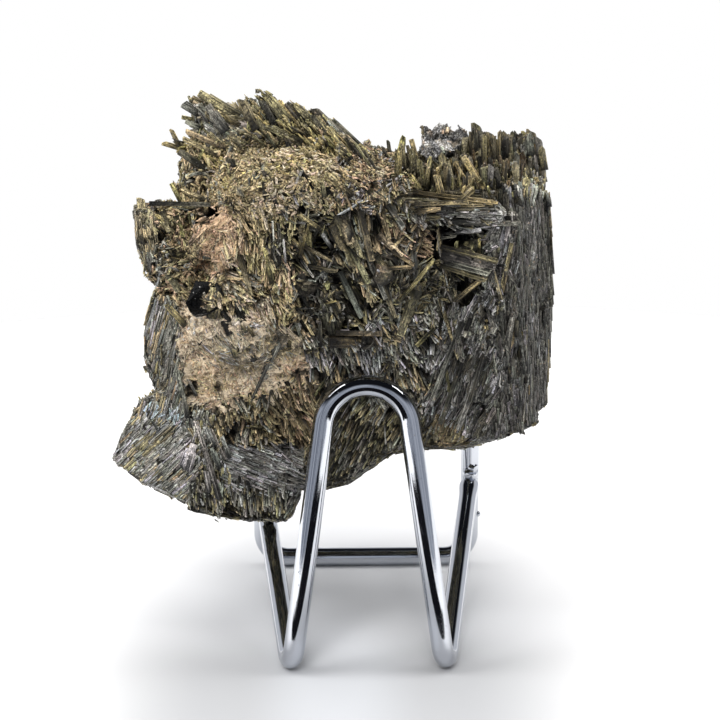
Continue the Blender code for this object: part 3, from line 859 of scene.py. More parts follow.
REGIONS = {
    "peak": region("crest", (-0.85, -0.1, 0.5), 0.22, (0.0, 0.15), (1.4, 4.2), (0.6, 1.8),
        (-0.4, 0.35), 2.4, dict(olive=4, tan=3, grey=4), 0.8, habit="column", ground="grey",
        ridges=1.0, grit=1.0, sink=0.1, light=0.89),
    "spikes": region("crest", (-0.85, -0.2, 0.45), 0.5, (0.2, 0.7), (2, 5), (0.4, 1.1), (-0.3, 1.2),
        2.6, dict(olive=3, dark=2, yellow=2, tan=1), 0.4, light=1.48),
    "peak_foot": region("crest", (-0.4, -0.4, 0.5), 1.1, (0.0, 0.7), (1.2, 3.5), (0.3, 1.1),
        (-0.6, 1.0), 4.2, dict(olive=4, yellow=1, tan=5, grey=2), 0.6, under="rust", voids=0.04,
        light=2.36),
    "crest": region("crest", (-0.60, -0.2, 0.75), 0.35, None, (2, 6), (0.35, 1.2), (-0.8, 0.9), 4.6,
        dict(olive=5, dark=2, grey=1, yellow=3, tan=1), 0.5, ridges=0.7, sink=0.9, light=1.86),
    "dome": region("dome", (-0.2, -0.5, 0.3), 1.7, (0.0, 0.8), (0.45, 1.3), (0.3, 0.75),
        (-0.4, 0.6), 9.0, dict(tan=7, olive=3, yellow=1, cream=4, grey=1), 0.8, vary=0.40,
        ground="tan", grit=0.8, sink=0.4, under="rust", voids=0.03, light=1.56),
    "dome_right": region("dome", (-0.1, -0.5, 0.2), 1.7, (0.0, 0.8), (0.6, 1.9), (0.25, 0.75),
        (-0.5, 0.8), 7.5, dict(tan=4, pink=3, olive=3, lavender=2, cream=1), 0.7, ground="dark",
        grit=0.6, sink=0.7, under="rust", voids=0.12, light=1.72),
    "saddle": region("dome", (-0.35, -0.3, 0.9), 0.3, None, (3, 6), (0.5, 1.3), (0.0, 1.2), 2.4,
        dict(yellow=4, olive=4), 0.3, light=0.20),
    "grey_lump": region("crown", (0.3, -0.4, 0.6), 1.2, (0.0, 0.15), (0.5, 1.4), (0.4, 1.0),
        (-0.3, 0.05), 0.25, dict(lavender=5, grey=5, pink=2, charcoal=1), 0.8, ground="lavender",
        grit=0.4, sink=0.0, under="grey", light=0.93),
    "crown": region("crown", (0.02, -0.1, 1.0), 0.30, None, (2, 6), (0.5, 1.7), (-0.8, 1.1), 3.6,
        dict(olive=5, yellow=3, dark=3, rust=1), 0.4, habit="spear", flat=(0.5, 0.9), sink=1.3,
        light=0.66, voids=0.10, vary=0.5),
    "crown_right": region("crown", (0.04, -0.1, 1.0), 0.22, None, (2, 5.5), (0.5, 1.6), (-0.5, 0.6),
        3.6, dict(grey=4, olive=4, charcoal=2), 0.7, habit="spear", flat=(0.5, 0.9), ground="dark",
        ridges=0.7, sink=0.7, light=2.14),
    "ledge": striated("crown", (1.0, -0.1, -0.03), (1.5, 6), (0.25, 0.8), 4.5,
        dict(yellow=1, olive=5, grey=2, tan=1), 0.3, "dark", proud=(-0.5, 0.6), ridges=0.7,
        light=0.41, vary=0.35, sink=0.4),
    "band": striated("crown", (1.0, -0.1, -0.12), (0.8, 3), (0.25, 0.8), 3.2,
        dict(lavender=8, grey=3, charcoal=2), 0.5, "grey", proud=(-0.4, 0.35), grit=0.6, light=1.22,
        vary=0.35, sink=0.1),
    "dark_hollow": region("heart", (0.6, -0.5, -0.6), 0.8, (0.1, 0.6), (2, 5), (0.3, 0.9),
        (-1.8, 0.6), 2.2, dict(dark=3, charcoal=4, olive=3, grey=2), 0.2, sink=2.2, light=1.68,
        voids=0.35),
    "pit": region("heart", (0.6, -0.5, -0.6), 0.8, (0.1, 0.6), (1.5, 3), (0.3, 0.8), (-2.2, -0.8),
        1.2, dict(dark=3, charcoal=1), 0.0, sink=2.6, light=0.37, voids=0.7),
    "left_edge": striated("left", (0.0, -0.1, 1.0), (1.5, 5), (0.3, 1.2), 3.2,
        dict(tan=4, grey=3, olive=3), 0.7, "grey", grit=0.6, light=0.70, proud=(-0.3, 0.5),
        vary=0.35, sink=0.3, spread=0.2),
    "left_bump": region("left", (-0.3, -0.5, 0.3), 1.2, (0.0, 0.6), (1.2, 4), (0.3, 1.2),
        (-0.8, 0.9), 4.4, dict(olive=4, tan=6, pink=2, grey=1), 0.6, under="rust", voids=0.14,
        sink=1.0, light=2.03),
    "pink_patch": matted((0.0, -0.5, 0.2), dict(pink=8, cream=3, tan=3), "pink", spread=1.2,
        voids=0.05, length=(0.9, 3.0), width=(0.25, 0.75), light=4.10, under="pink"),
    "centre_left": region("heart", (0.22, -0.3, -0.95), 0.6, (0.0, 0.4), (1.5, 5.5), (0.25, 0.9),
        (-1.1, 1.2), 4.8, dict(olive=3, tan=6, grey=2, pink=1, cream=3), 0.7, voids=0.23, sink=1.6,
        light=2.29, under="rust"),
    "heart": region("heart", (0.35, -0.4, -0.85), 0.9, (0.0, 0.6), (2.5, 7), (0.3, 1.0),
        (-1.6, 1.0), 3.2, dict(dark=3, olive=5, charcoal=2, tan=1, grey=2), 0.3, sink=2.2,
        voids=0.39, light=2.44),
    "mid_right": region("heart", (0.30, -0.2, -0.95), 0.5, (0.0, 0.3), (2, 7), (0.3, 1.1),
        (-1.3, 1.1), 4.5, dict(olive=4, grey=4, tan=2, dark=2), 0.4, sink=2.0, voids=0.26,
        light=1.47),
    "rosy_blades": region("heart", (0.45, -0.2, -0.8), 0.8, (0.0, 0.4), (2, 5), (0.3, 1.0),
        (-1.0, 1.1), 4.2, dict(pink=4, tan=3, grey=3, bronze=2), 0.6, sink=1.6, voids=0.15,
        light=0.77, under="rust"),
    "fine_cross": region("heart", (0.7, -0.2, 0.7), 0.9, (0.0, 0.5), (1.5, 5), (0.22, 0.7),
        (-1.1, 1.0), 4.6, dict(olive=4, grey=5, dark=2), 0.3, sink=1.6, voids=0.22, light=1.23),
    "cream_top": matted((0.5, -0.6, -0.4), dict(cream=8, pink=1, silver_and_highlight=1), "cream", light=1.50,
        spread=1.3, proud=(-0.3, 0.35), length=(0.4, 1.3), width=(0.2, 0.6), voids=0.03),
    "cream_green": matted((0.5, -0.4, -0.6), dict(cream=6, grey=2, tan=2, silver_and_highlight=2), "tan",
        light=1.15, spread=0.6, proud=(-0.3, 0.4), length=(0.9, 3.0), width=(0.15, 0.4)),
    "cream_low": matted((0.4, -0.5, -0.4), dict(cream=4, pink=5, tan=4), "cream", light=2.86,
        under="rust", spread=1.5, proud=(-0.3, 0.3), length=(0.4, 1.2), width=(0.2, 0.55),
        voids=0.10),
    "left_slab": striated("left", (0.30, -0.05, 0.95), (1.5, 7), (0.2, 0.65), 2.4,
        dict(grey=6, lavender=2, tan=2, olive=1), 0.6, "grey", light=0.92, vary=0.20,
        proud=(-0.2, 0.25), grit=0.45),
    "bluish": striated("left", (0.5, -0.05, 0.8), (0.5, 2.0), (0.22, 0.7), 2.8,
        dict(ice=5, grey=5, lavender=2), 0.5, "grey", light=1.49, vary=0.4, proud=(-0.25, 0.35),
        grit=0.6, sink=0.2, spread=0.7),
    "low_left": striated("left", (0.72, -0.05, 0.68), (1, 4.5), (0.22, 0.9), 2.6,
        dict(lavender=5, grey=6, tan=1, olive=1, charcoal=1), 0.6, "grey", light=1.53, vary=0.30,
        proud=(-0.25, 0.35), grit=0.45, sink=0.2),
    "ridge": region("left", (0.1, -0.3, 0.9), 0.5, (0.0, 0.25), (0.8, 2.4), (0.25, 0.9),
        (-0.5, 0.6), 3.4, dict(grey=5, olive=4, lavender=2), 0.5, habit="slat", sink=0.3,
        light=1.46),
    "dark_slab": striated("keel", (0.9, -0.05, -0.42), (0.8, 3.5), (0.22, 0.8), 2.8,
        dict(charcoal=5, lavender=6), 0.5, "charcoal", light=1.18, vary=0.28, proud=(-0.25, 0.3),
        grit=0.5, sink=0.2),
    "foot": region("keel", (0.0, -0.05, -1.0), 0.14, (0.0, 0.12), (1.2, 5), (0.25, 0.9),
        (-0.8, 0.7), 3.8, dict(olive=5, grey=4, dark=2), 0.4, ridges=0.9, sink=0.9, voids=0.10,
        light=1.64),
    "small_columns": region("keel", (0.1, -0.2, -1.0), 0.5, (0.0, 0.3), (1.2, 3.5), (0.3, 1.1),
        (-0.9, 0.9), 4.2, dict(grey=4, tan=3, olive=4), 0.5, sink=1.3, voids=0.18, light=1.22,
        under="rust"),
    "fan": region("keel", (0.5, -0.1, -0.85), 0.4, (0.0, 0.3), (2, 5), (0.3, 1.0), (-0.8, 1.0), 4.0,
        dict(pink=2, tan=3, bronze=4, olive=3), 0.4, sink=1.2, voids=0.14, light=0.94,
        under="rust"),
    "under_arch": region("keel", (-0.5, -0.05, -0.87), 0.2, (0.0, 0.10), (1.2, 5.5), (0.25, 0.9),
        (-0.8, 0.7), 3.8, dict(olive=4, dark=2, grey=5), 0.3, ridges=0.9, sink=0.9, voids=0.12,
        light=1.12),
    "steep_fibres": region("right", (0.30, -0.1, -0.95), 0.3, (0.0, 0.2), (1.2, 4.5), (0.25, 0.8),
        (-0.9, 0.9), 4.6, dict(grey=5, lavender=2, tan=2, dark=2), 0.4, ridges=0.7, sink=1.1,
        voids=0.15, light=2.18),
    "right_front": striated("right", (-0.38, -0.05, -0.92), (0.8, 3.6), (0.3, 1.0), 3.4,
        dict(charcoal=5, lavender=3, grey=3, dark=2), 0.3, "charcoal", proud=(-0.35, 0.3),
        ridges=0.7, grit=0.6, light=0.91, sink=0.15, voids=0.08, spread=0.30, vary=0.32),
    "right_foot": striated("right", (-0.38, -0.05, -0.92), (0.8, 3.5), (0.25, 0.9), 2.8,
        dict(olive=3, bronze=2, grey=4, tan=1), 0.4, "olive", light=0.98, vary=0.35,
        proud=(-0.4, 0.3), sink=0.1),
    "right_face": striated("right", (0.02, -0.02, 1.0), (0.8, 3.6), (0.3, 0.9), 3.0,
        dict(grey=5, charcoal=4, lavender=4), 0.3, "charcoal", grit=0.6, light=0.42,
        proud=(-0.3, 0.25), sink=0.1, spread=0.22, vary=0.28),
    "rear_high": region("rear", (0.1, 0.35, 0.9), 0.35, (0.0, 0.5), (3, 9), (0.6, 1.8), (-0.6, 1.1),
        1.0, dict(olive=5, dark=3, grey=2, yellow=1), 0.3, ground="dark", sink=0.9, light=1.55),
    "rear_low": region("rear", (-0.15, 0.1, -0.95), 0.25, (0.0, 0.2), (4, 11), (0.5, 1.8),
        (-0.5, 0.9), 1.0, dict(olive=4, grey=4, dark=3, tan=1), 0.25, ground="dark", ridges=0.8,
        sink=0.8, light=1.55),
    "top_left": region("crest", (-0.5, 0.15, 0.85), 0.3, None, (4, 8), (0.6, 1.7), (-0.4, 1.1), 1.2,
        dict(olive=5, dark=3, grey=2), 0.4, ground="dark", ridges=0.7, light=1.46),
    "top_right": region("crown", (0.05, 0.1, 1.0), 0.12, None, (5, 10), (0.7, 1.9), (-0.3, 1.3),
        1.2, dict(olive=4, yellow=3, grey=2, dark=1), 0.4, habit="spear", flat=(0.5, 0.9),
        ground="dark", light=1.01),
    "left_back": striated("left", (-0.1, 0.15, -1.0), (5, 12), (0.5, 1.8), 1.0,
        dict(grey=4, olive=4, lavender=1, dark=1), 0.4, "grey", spread=0.12, proud=(-0.2, 0.6),
        ridges=0.8, light=1.27),
    "right_back": striated("right", (0.0, 0.05, 1.0), (6, 16), (0.5, 1.9), 1.0,
        dict(grey=4, charcoal=3, olive=3), 0.35, "grey", proud=(-0.2, 0.5), ridges=0.7, light=1.01),
    "underside": region("keel", (0.3, 0.3, -0.9), 0.5, (0.0, 0.4), (3, 7), (0.6, 1.6), (-0.4, 0.8),
        0.9, dict(olive=4, dark=4, grey=3), 0.1, ground="dark", light=1.52),
}

# Where the regions lie in the camera's view: image places with the reach of each, in pixels.
VIEW_SEEDS = {
    "peak": ((203, 112, 20), (228, 124, 16)),
    "spikes": ((168, 140, 15),),
    "peak_foot": ((185, 172, 20), (210, 155, 16)),
    "crest": ((262, 112, 22), (290, 112, 22), (320, 128, 20), (345, 142, 12)),
    "dome": ((235, 165, 26), (275, 172, 28), (315, 176, 28), (260, 200, 22)),
    "dome_right": ((352, 172, 22), (382, 168, 20), (350, 195, 16)),
    "saddle": ((406, 156, 16),),
    "grey_lump": ((432, 142, 16), (452, 138, 14)),
    "crown": ((445, 172, 18), (475, 165, 22), (500, 165, 16)),
    "crown_right": ((525, 160, 24),),
    "ledge": ((422, 204, 10), (445, 203, 10), (470, 203, 9), (490, 203, 8)),
    "band": ((450, 214, 6), (475, 215, 8), (500, 214, 9)),
    "dark_hollow": ((462, 234, 18), (318, 240, 22), (335, 290, 20), (468, 292, 15),
                    (345, 322, 12)),
    "pit": ((200, 293, 7), (200, 304, 7), (203, 216, 9)),
    "left_edge": ((142, 222, 10), (142, 240, 10)),
    "left_bump": ((168, 222, 14), (178, 245, 14), (160, 270, 14), (185, 275, 14)),
    "pink_patch": ((218, 240, 20), (212, 262, 14)),
    "centre_left": ((250, 265, 20), (250, 230, 16), (240, 295, 20), (275, 300, 20)),
    "heart": ((285, 245, 16), (315, 275, 18), (305, 215, 12)),
    "mid_right": ((362, 245, 20), (375, 280, 18), (350, 215, 12), (400, 215, 16)),
    "rosy_blades": ((402, 245, 18),),
    "fine_cross": ((418, 282, 18), (395, 305, 14)),
    "cream_top": ((202, 328, 18), (190, 345, 12), (222, 325, 12), (255, 328, 14)),
    "cream_green": ((228, 350, 17), (250, 360, 17), (270, 348, 14), (215, 345, 8)),
    "cream_low": ((205, 375, 18), (235, 392, 18), (262, 392, 16), (285, 385, 14), (200, 358, 10)),
    "left_slab": ((160, 325, 16), (160, 350, 18), (162, 380, 18)),
    "bluish": ((168, 388, 9), (160, 410, 9), (172, 412, 7)),
    "low_left": ((135, 455, 20), (160, 440, 20), (170, 470, 18), (190, 455, 14)),
    "ridge": ((208, 450, 14), (215, 475, 14), (200, 425, 12)),
    "dark_slab": ((250, 470, 18), (282, 475, 18)),
    "foot": ((220, 508, 14), (250, 508, 14), (280, 506, 12)),
    "small_columns": ((255, 425, 20), (235, 430, 14)),
    "fan": ((295, 420, 16),),
    "under_arch": ((350, 425, 22), (365, 455, 20), (330, 470, 18), (395, 440, 16)),
    "steep_fibres": ((400, 345, 20), (395, 385, 22), (350, 375, 18), (430, 330, 14)),
    "right_front": ((465, 340, 22), (470, 375, 24), (455, 410, 20), (485, 320, 14),
                    (500, 245, 12), (490, 300, 12)),
    "right_foot": ((445, 440, 12),),
    "right_face": ((520, 210, 16), (530, 240, 20), (530, 280, 22), (530, 320, 22),
                   (528, 360, 22), (525, 400, 20), (515, 430, 14)),
}

PATCH_SIZE = 3.2  # crystals grow in bundles about this wide, each leaning its own way
BUNDLE_ALIKE = 0.6  # share of the crystals that take their bundle's colour
# Cavities: how closely they follow each other, and how a region's share sets their edge.
VOID_SCALE, VOID_LEVEL, VOID_GAIN, VOID_EDGE = 0.30, 0.62, 0.95, 0.10

# Large single crystals by piece, colour and habit. Each is given by the image places of its tip
# and its root, its width and flatness, and how far its tip and root stand out towards the view.
SINGLES = {
    "crest": (
        ("olive", "spear", (
            (262, 88, 288, 122, 3.8, 0.6, 0.0, -1.0), (241, 99, 256, 130, 2.8, 0.7, 0.6, 0.0),
            (292, 101, 322, 130, 2.6, 0.6, 0.2, -1.0), (262, 124, 302, 143, 3.0, 0.5, 1.2, 0.2),
            (250, 120, 247, 140, 1.4, 0.8, 1.2, 0.0), (256, 118, 268, 138, 1.6, 0.7, 1.0, 0.0))),
        ("dark", "spear", (
            (262, 100, 276, 128, 2.4, 0.6, 0.5, 0.0), (312, 108, 352, 146, 2.6, 0.6, 0.0, -1.0),
            (330, 118, 366, 152, 2.4, 0.6, -0.5, -1.5), (278, 112, 300, 134, 1.8, 0.6, 0.8, 0.0),
            (176, 150, 206, 168, 2.2, 0.6, 0.8, 0.0))),
        ("olive", "column", (
            (199, 93, 242, 119, 3.2, 0.5, 0.2, -0.6),)),
        ("tan", "column", (
            (186, 132, 226, 148, 1.6, 0.7, 1.0, 0.2),
            (182, 190, 206, 200, 1.4, 0.7, 0.8, 0.2), (183, 139, 220, 156, 1.5, 0.7, 0.8, 0.2))),
        ("charcoal", "column", (
            (208, 106, 226, 132, 3.0, 0.5, 0.8, 0.2),)),
        ("grey", "column", (
            (183, 104, 200, 114, 2.6, 0.8, 0.8, 0.0), (186, 122, 200, 128, 1.8, 0.8, 0.8, 0.0))),
        ("yellow", "blade", (
            (162, 143, 180, 148, 1.5, 0.7, 0.2, 0.0), (171, 129, 179, 146, 1.3, 0.7, 0.2, 0.0),
            (218, 112, 240, 126, 1.5, 0.6, 1.0, 0.4), (172, 184, 182, 204, 1.5, 0.6, 1.2, 0.4),
            (204, 150, 198, 162, 1.1, 0.6, 1.2, 0.4), (182, 118, 194, 120, 1.6, 0.8, 1.0, 0.2))),
    ),
    "dome": (
        ("yellow", "blade", (
            (404, 136, 399, 160, 2.3, 0.5, 0.8, 0.0), (411, 140, 419, 170, 1.8, 0.6, 1.0, 0.2),
            (409, 174, 421, 192, 2.0, 0.6, 1.2, 0.6), (300, 146, 312, 160, 1.4, 0.7, 1.0, 0.2),
            (336, 150, 346, 166, 1.4, 0.7, 1.0, 0.2))),
        ("dark", "blade", (
            (388, 140, 390, 156, 1.1, 0.8, 0.0, 0.0), (383, 146, 386, 158, 1.2, 0.8, 0.0, 0.0),
            (228, 158, 236, 166, 2.0, 0.8, 0.3, 0.0), (262, 170, 268, 176, 1.8, 0.8, 0.3, 0.0))),
        ("tan", "blade", (
            (330, 176, 352, 196, 2.0, 0.6, 1.2, 0.4), (340, 168, 360, 190, 1.6, 0.6, 1.2, 0.4))),
    ),
    "crown": (
        ("olive", "spear", (
            (476, 123, 478, 150, 3.0, 0.8, 0.4, 0.0), (488, 130, 489, 154, 2.2, 0.8, 0.6, 0.0),
            (501, 126, 502, 150, 3.0, 0.8, 0.5, 0.0), (513, 127, 514, 154, 3.0, 0.8, 0.5, 0.0),
            (440, 152, 449, 196, 1.9, 0.7, 1.2, 0.4), (447, 160, 455, 196, 1.6, 0.7, 1.2, 0.4),
            (497, 155, 503, 200, 1.8, 0.7, 1.0, 0.4), (514, 160, 518, 204, 2.0, 0.6, 0.8, 0.4))),
        ("yellow", "column", (
            (462, 158, 489, 203, 2.0, 0.6, 2.0, 1.0), (454, 163, 478, 202, 1.3, 0.6, 1.4, 0.6),
            (466, 160, 494, 203, 1.2, 0.6, 1.6, 0.8),
            (430, 158, 425, 186, 1.3, 0.7, 1.4, 0.6), (436, 176, 442, 198, 2.0, 0.7, 1.4, 0.6),
            (497, 204, 413, 193, 1.5, 0.7, 1.4, 1.0), (468, 203, 414, 205, 1.5, 0.7, 1.6, 1.2),
            (440, 210, 417, 212, 1.5, 0.7, 1.6, 1.2), (472, 190, 458, 203, 1.8, 0.7, 1.2, 1.0))),
        ("grey", "spear", (
            (528, 128, 529, 156, 3.2, 0.7, 0.2, 0.0), (538, 137, 539, 160, 2.6, 0.8, 0.0, 0.0),
            (524, 215, 436, 210, 2.0, 0.5, 0.7, 0.7), (520, 224, 452, 222, 1.6, 0.5, 0.5, 0.5))),
        ("dark", "column", (
            (486, 206, 480, 158, 1.8, 0.7, 0.8, 0.2), (458, 200, 456, 182, 2.6, 0.7, 0.5, 0.2))),
    ),
    "heart": (
        ("grey", "column", (
            (495, 268, 441, 254, 3.4, 0.45, 1.2, 1.0), (490, 274, 444, 261, 2.2, 0.45, 0.9, 0.7))),
        ("olive", "column", (
            (497, 262, 440, 247, 1.5, 0.8, 2.0, 1.4), (486, 281, 440, 266, 1.4, 0.8, 1.6, 1.0))),
        # Painted highlight: glossy crystals drawn in a bright silvery colour where light glances
        # off them.
        ("silver_and_highlight", "column", (
            (273, 222, 275, 262, 0.7, 0.8, 1.8, 1.4), (284, 240, 286, 264, 0.6, 0.8, 1.8, 1.4),
            (322, 234, 332, 249, 1.2, 0.5, 1.6, 1.0), (338, 217, 381, 191, 0.8, 0.8, 2.0, 1.6),
            (481, 230, 455, 232, 1.5, 0.7, 0.8, 0.6))),
        ("dark", "column", (
            (279, 224, 280, 264, 1.0, 0.8, 1.2, 0.8), (482, 241, 456, 244, 1.6, 0.7, 0.6, 0.4),
            (300, 236, 318, 268, 1.2, 0.7, 0.6, 0.2))),
        ("yellow", "blade", (
            (309, 225, 299, 258, 1.1, 0.7, 1.6, 1.0), (266, 248, 273, 284, 2.0, 0.6, 1.6, 1.0),
            (434, 260, 400, 301, 1.2, 0.7, 2.0, 1.4), (413, 267, 388, 269, 1.1, 0.7, 1.6, 1.2),
            (484, 277, 455, 301, 1.4, 0.7, 1.2, 0.8), (298, 214, 320, 230, 1.8, 0.6, 1.4, 0.8),
            (416, 346, 436, 326, 1.6, 0.6, 1.2, 0.8))),
        ("olive", "blade", (
            (354, 248, 336, 220, 2.6, 0.6, 1.8, 1.2), (344, 252, 333, 226, 2.0, 0.6, 1.6, 1.0),
            (390, 280, 376, 256, 2.2, 0.6, 1.6, 1.0), (372, 262, 360, 212, 2.2, 0.6, 2.0, 1.2),
            (351, 246, 341, 219, 2.8, 0.6, 3.4, 2.8), (343, 240, 337, 217, 2.2, 0.6, 3.0, 2.6),
            (362, 260, 344, 213, 1.6, 0.6, 1.6, 1.0),
            (389, 240, 381, 211, 2.0, 0.6, 1.6, 1.0), (369, 284, 349, 245, 2.0, 0.6, 1.8, 1.0),
            (332, 262, 304, 246, 1.2, 0.7, 1.2, 0.6), (352, 268, 338, 222, 1.4, 0.6, 1.6, 1.0),
            (338, 272, 308, 266, 1.2, 0.7, 1.2, 0.8), (400, 336, 416, 290, 3.4, 0.6, 1.8, 1.0),
            (395, 318, 381, 280, 1.8, 0.6, 1.6, 1.0), (252, 296, 240, 256, 1.8, 0.6, 1.4, 0.8))),
        ("grey", "column", (
            (425, 229, 396, 199, 2.8, 0.5, 1.8, 1.0), (404, 230, 388, 206, 1.9, 0.6, 1.6, 1.0),
            (386, 300, 366, 252, 1.8, 0.6, 1.6, 0.8), (362, 318, 340, 272, 1.6, 0.6, 1.4, 0.8))),
        ("pink", "blade", (
            (402, 257, 378, 235, 2.2, 0.6, 1.8, 1.0), (410, 262, 390, 246, 1.6, 0.6, 1.6, 1.0))),
        ("bronze", "column", (
            (382, 341, 329, 342, 3.4, 0.8, 1.8, 1.2), (382, 334, 336, 333, 1.8, 0.8, 1.8, 1.2),
            (414, 266, 392, 251, 1.6, 0.7, 2.0, 1.4))),
    ),
    "left": (
        ("dark", "column", (
            (212, 205, 150, 204, 1.6, 0.8, 0.9, 0.8),)),
        ("olive", "column", (
            (141, 198, 145, 244, 2.4, 0.6, 0.6, 0.4), (150, 206, 152, 240, 1.6, 0.6, 0.5, 0.3))),
        # Painted highlight: a bright facet drawn in a silvery colour.
        ("silver_and_highlight", "column", (
            (194, 444, 187, 470, 3.0, 0.4, 0.9, 0.6), (188, 448, 182, 466, 1.6, 0.4, 0.8, 0.5))),
        ("yellow", "blade", (
            (156, 215, 171, 227, 1.1, 0.7, 1.0, 0.6), (166, 304, 186, 326, 2.0, 0.5, 1.0, 0.4),
            (196, 262, 170, 258, 1.1, 0.7, 1.0, 0.6), (184, 238, 176, 216, 2.0, 0.6, 1.0, 0.6))),
        ("pink", "blade", (
            (209, 226, 190, 245, 1.0, 0.7, 1.2, 0.8),)),
        ("grey", "column", (
            (196, 420, 220, 498, 1.6, 0.7, 0.8, 0.6),)),
        ("grey", "blade", (
            (178, 370, 184, 398, 1.6, 0.5, 1.2, 0.8), (184, 392, 188, 418, 1.4, 0.5, 1.0, 0.7),
            (188, 378, 197, 396, 1.2, 0.5, 0.8, 0.6))),
        ("tan", "blade", (
            (214, 288, 212, 319, 2.6, 0.5, 1.6, 1.0), (221, 292, 217, 318, 1.6, 0.6, 1.4, 0.9))),
        ("olive", "column", (
            (170, 232, 162, 212, 2.4, 0.6, 0.9, 0.5),
            (180, 292, 168, 272, 2.2, 0.6, 0.9, 0.4))),
        ("grey", "column", (
            (206, 426, 214, 446, 1.8, 0.6, 0.8, 0.4), (212, 448, 220, 468, 1.6, 0.6, 0.8, 0.4),
            (222, 436, 230, 458, 1.6, 0.6, 0.7, 0.4), (206, 470, 210, 492, 1.6, 0.6, 0.7, 0.4))),
    ),
    "right": (
        ("dark", "column", (
            (440, 424, 466, 350, 1.3, 0.6, 0.7, 0.7), (470, 402, 488, 340, 1.2, 0.6, 0.6, 0.6),
            (452, 372, 470, 318, 1.2, 0.6, 0.6, 0.6))),
        ("grey", "column", (
            (432, 400, 462, 322, 1.6, 0.6, 0.9, 0.7), (458, 430, 482, 360, 1.8, 0.5, 0.6, 0.5))),
    ),
}


# Brightness of the single crystals by piece, matched to how bright each part looks: partly their
# own tone, partly painted light and shade.
SINGLE_LIGHT = {"crest": 1.1, "dome": 0.85, "crown": 0.55, "heart": 0.75, "left": 0.98,
                "right": 0.56}
SINGLE_WIDTH = 0.72  # narrows all of them
SINGLE_DUST = 0.45
SINGLE_DEEP = 0.05
PIXEL_MM = 0.175  # at the specimen


# Close rows of crystals along an edge, by piece: the tips follow the image places given, each
# crystal runs down to its root by the offset, and tips stray up and down by up to the last number.
FRINGES = {
    "crown": (
        (("olive", "dark", "olive", "yellow"), "spear",
         ((466, 134), (476, 125), (483, 133), (489, 131), (495, 134), (502, 127), (508, 132),
          (514, 128), (521, 131), (529, 129), (536, 136), (541, 141)),
         (1, 26), 38, (0.7, 1.9), 0.5, 4),
        (("dark", "olive", "grey", "rust"), "spear",
         ((464, 142), (500, 140), (543, 150)), (2, 22), 30, (0.6, 1.6), 1.0, 26),
        (("olive", "yellow", "dark"), "spear",
         ((428, 158), (452, 164), (470, 168)), (-1, 24), 15, (0.6, 1.3), 1.0, 12),
    ),
    "dome": (
        (("yellow", "olive"), "spear", ((396, 152), (404, 141), (414, 146), (424, 160)),
         (3, 26), 9, (0.6, 1.3), 0.4, 4),
    ),
    "crest": (
        (("olive", "dark", "yellow"), "blade",
         ((262, 92), (283, 101), (300, 108), (325, 122), (350, 138), (372, 152)),
         (22, 26), 26, (0.6, 1.5), 0.2, 4),
    ),
}


LUMP_SPAN = (422, 466, 152)  # left and right ends and lower edge of the grey lump, in the view


def region_of(spots, normals, seen, dice):
    """Names the region that each point belongs to."""
    names = list(REGIONS)
    places = in_view(spots) + dice.normal(0, 2.0, (len(spots), 2))
    best = np.full(len(spots), 1e9)
    found = np.zeros(len(spots), dtype=int)
    for name, seeds in VIEW_SEEDS.items():
        for u, v, reach in seeds:
            away = np.hypot(places[:, 0] - u, places[:, 1] - v) / reach
            closer = away < best
            best[closer] = away[closer]
            found[closer] = names.index(name)
    x, _, z = spots.T
    nx, _, nz = normals.T
    hidden = np.full(len(spots), names.index("rear_high"))
    hidden[z < 62] = names.index("rear_low")
    hidden[nx < -0.55] = names.index("left_back")
    hidden[nx > 0.55] = names.index("right_back")
    hidden[(nz > 0.45) & (x < 5)] = names.index("top_left")
    hidden[(nz > 0.45) & (x >= 5)] = names.index("top_right")
    hidden[(nz < -0.35) & (z < 60)] = names.index("underside")
    u, v = places.T
    hidden[(u > LUMP_SPAN[0]) & (u < LUMP_SPAN[1]) & (v < LUMP_SPAN[2])] = names.index("grey_lump")
    return [names[k] for k in np.where(seen, found, hidden)]


def unit(vectors):
    """The same directions, each of length one."""
    return vectors / np.maximum(np.linalg.norm(vectors, axis=-1, keepdims=True), 1e-9)


def in_range(tints):
    """The same colours, with those that are too bright made darker without losing their hue."""
    return tints / np.maximum(tints.max(axis=1, keepdims=True) / BRIGHTEST, 1.0)


def colour_values(name):
    """A finish's colour from the panel."""
    return np.array(getattr(stone_colours(), name)[:])


def drawn_from(mix, lot):
    """The colours that lots from 0 to 1 draw from a mix of finishes."""
    steps = np.cumsum(list(mix.values())) / sum(mix.values())
    palette = np.array([colour_values(name) for name in mix])
    return palette[np.minimum(np.searchsorted(steps, lot), len(mix) - 1)]


def tints_of(mix, lot, vary, dice):
    """Each crystal's own colour: lot, from 0 to 1, draws it from the mix of finishes."""
    shade = np.exp(np.clip(dice.normal(0, vary, len(lot)), -1.6 * vary, 1.6 * vary))[:, None]
    return drawn_from(mix, lot) * shade * dice.uniform(0.93, 1.07, (len(lot), 3))


def trimmed(rock, tip, along, length, reach, lying):
    """Shortens a crystal whose root end would come out of the specimen again."""
    good = 0.0
    for share in (0.2, 0.4, 0.6, 0.8, 1.0):
        slack = min(reach, 0.2) + 0.15 if lying else reach * (1.2 - share) + 0.1
        if rock.standing_out(tip - along * (length * share)) > slack:
            break
        good = share
    return length * good


def clear_of_wires(tips, alongs, lengths, widths, lines, wire):
    """Which crystals leave both wires free."""
    nearest = np.full(len(tips), 1e9)
    close = gap_to_wires(tips, lines) < lengths + wire + widths
    for share in np.linspace(0, 1, 5):
        spots = tips[close] - alongs[close] * (lengths[close] * share)[:, None]
        nearest[close] = np.minimum(nearest[close], gap_to_wires(spots, lines))
    return nearest > wire + widths * 0.55 + 0.05


def patches(spots):
    """Three numbers from -1 to 1 for each point, alike within a bundle of crystals."""
    found = []
    for spot in spots:
        place = Vector(spot)
        bent = place / PATCH_SIZE + noise.noise_vector(place * 0.35) * 0.6
        found.append(noise.cell_vector(bent)[:])
    return np.array(found) * 2 - 1


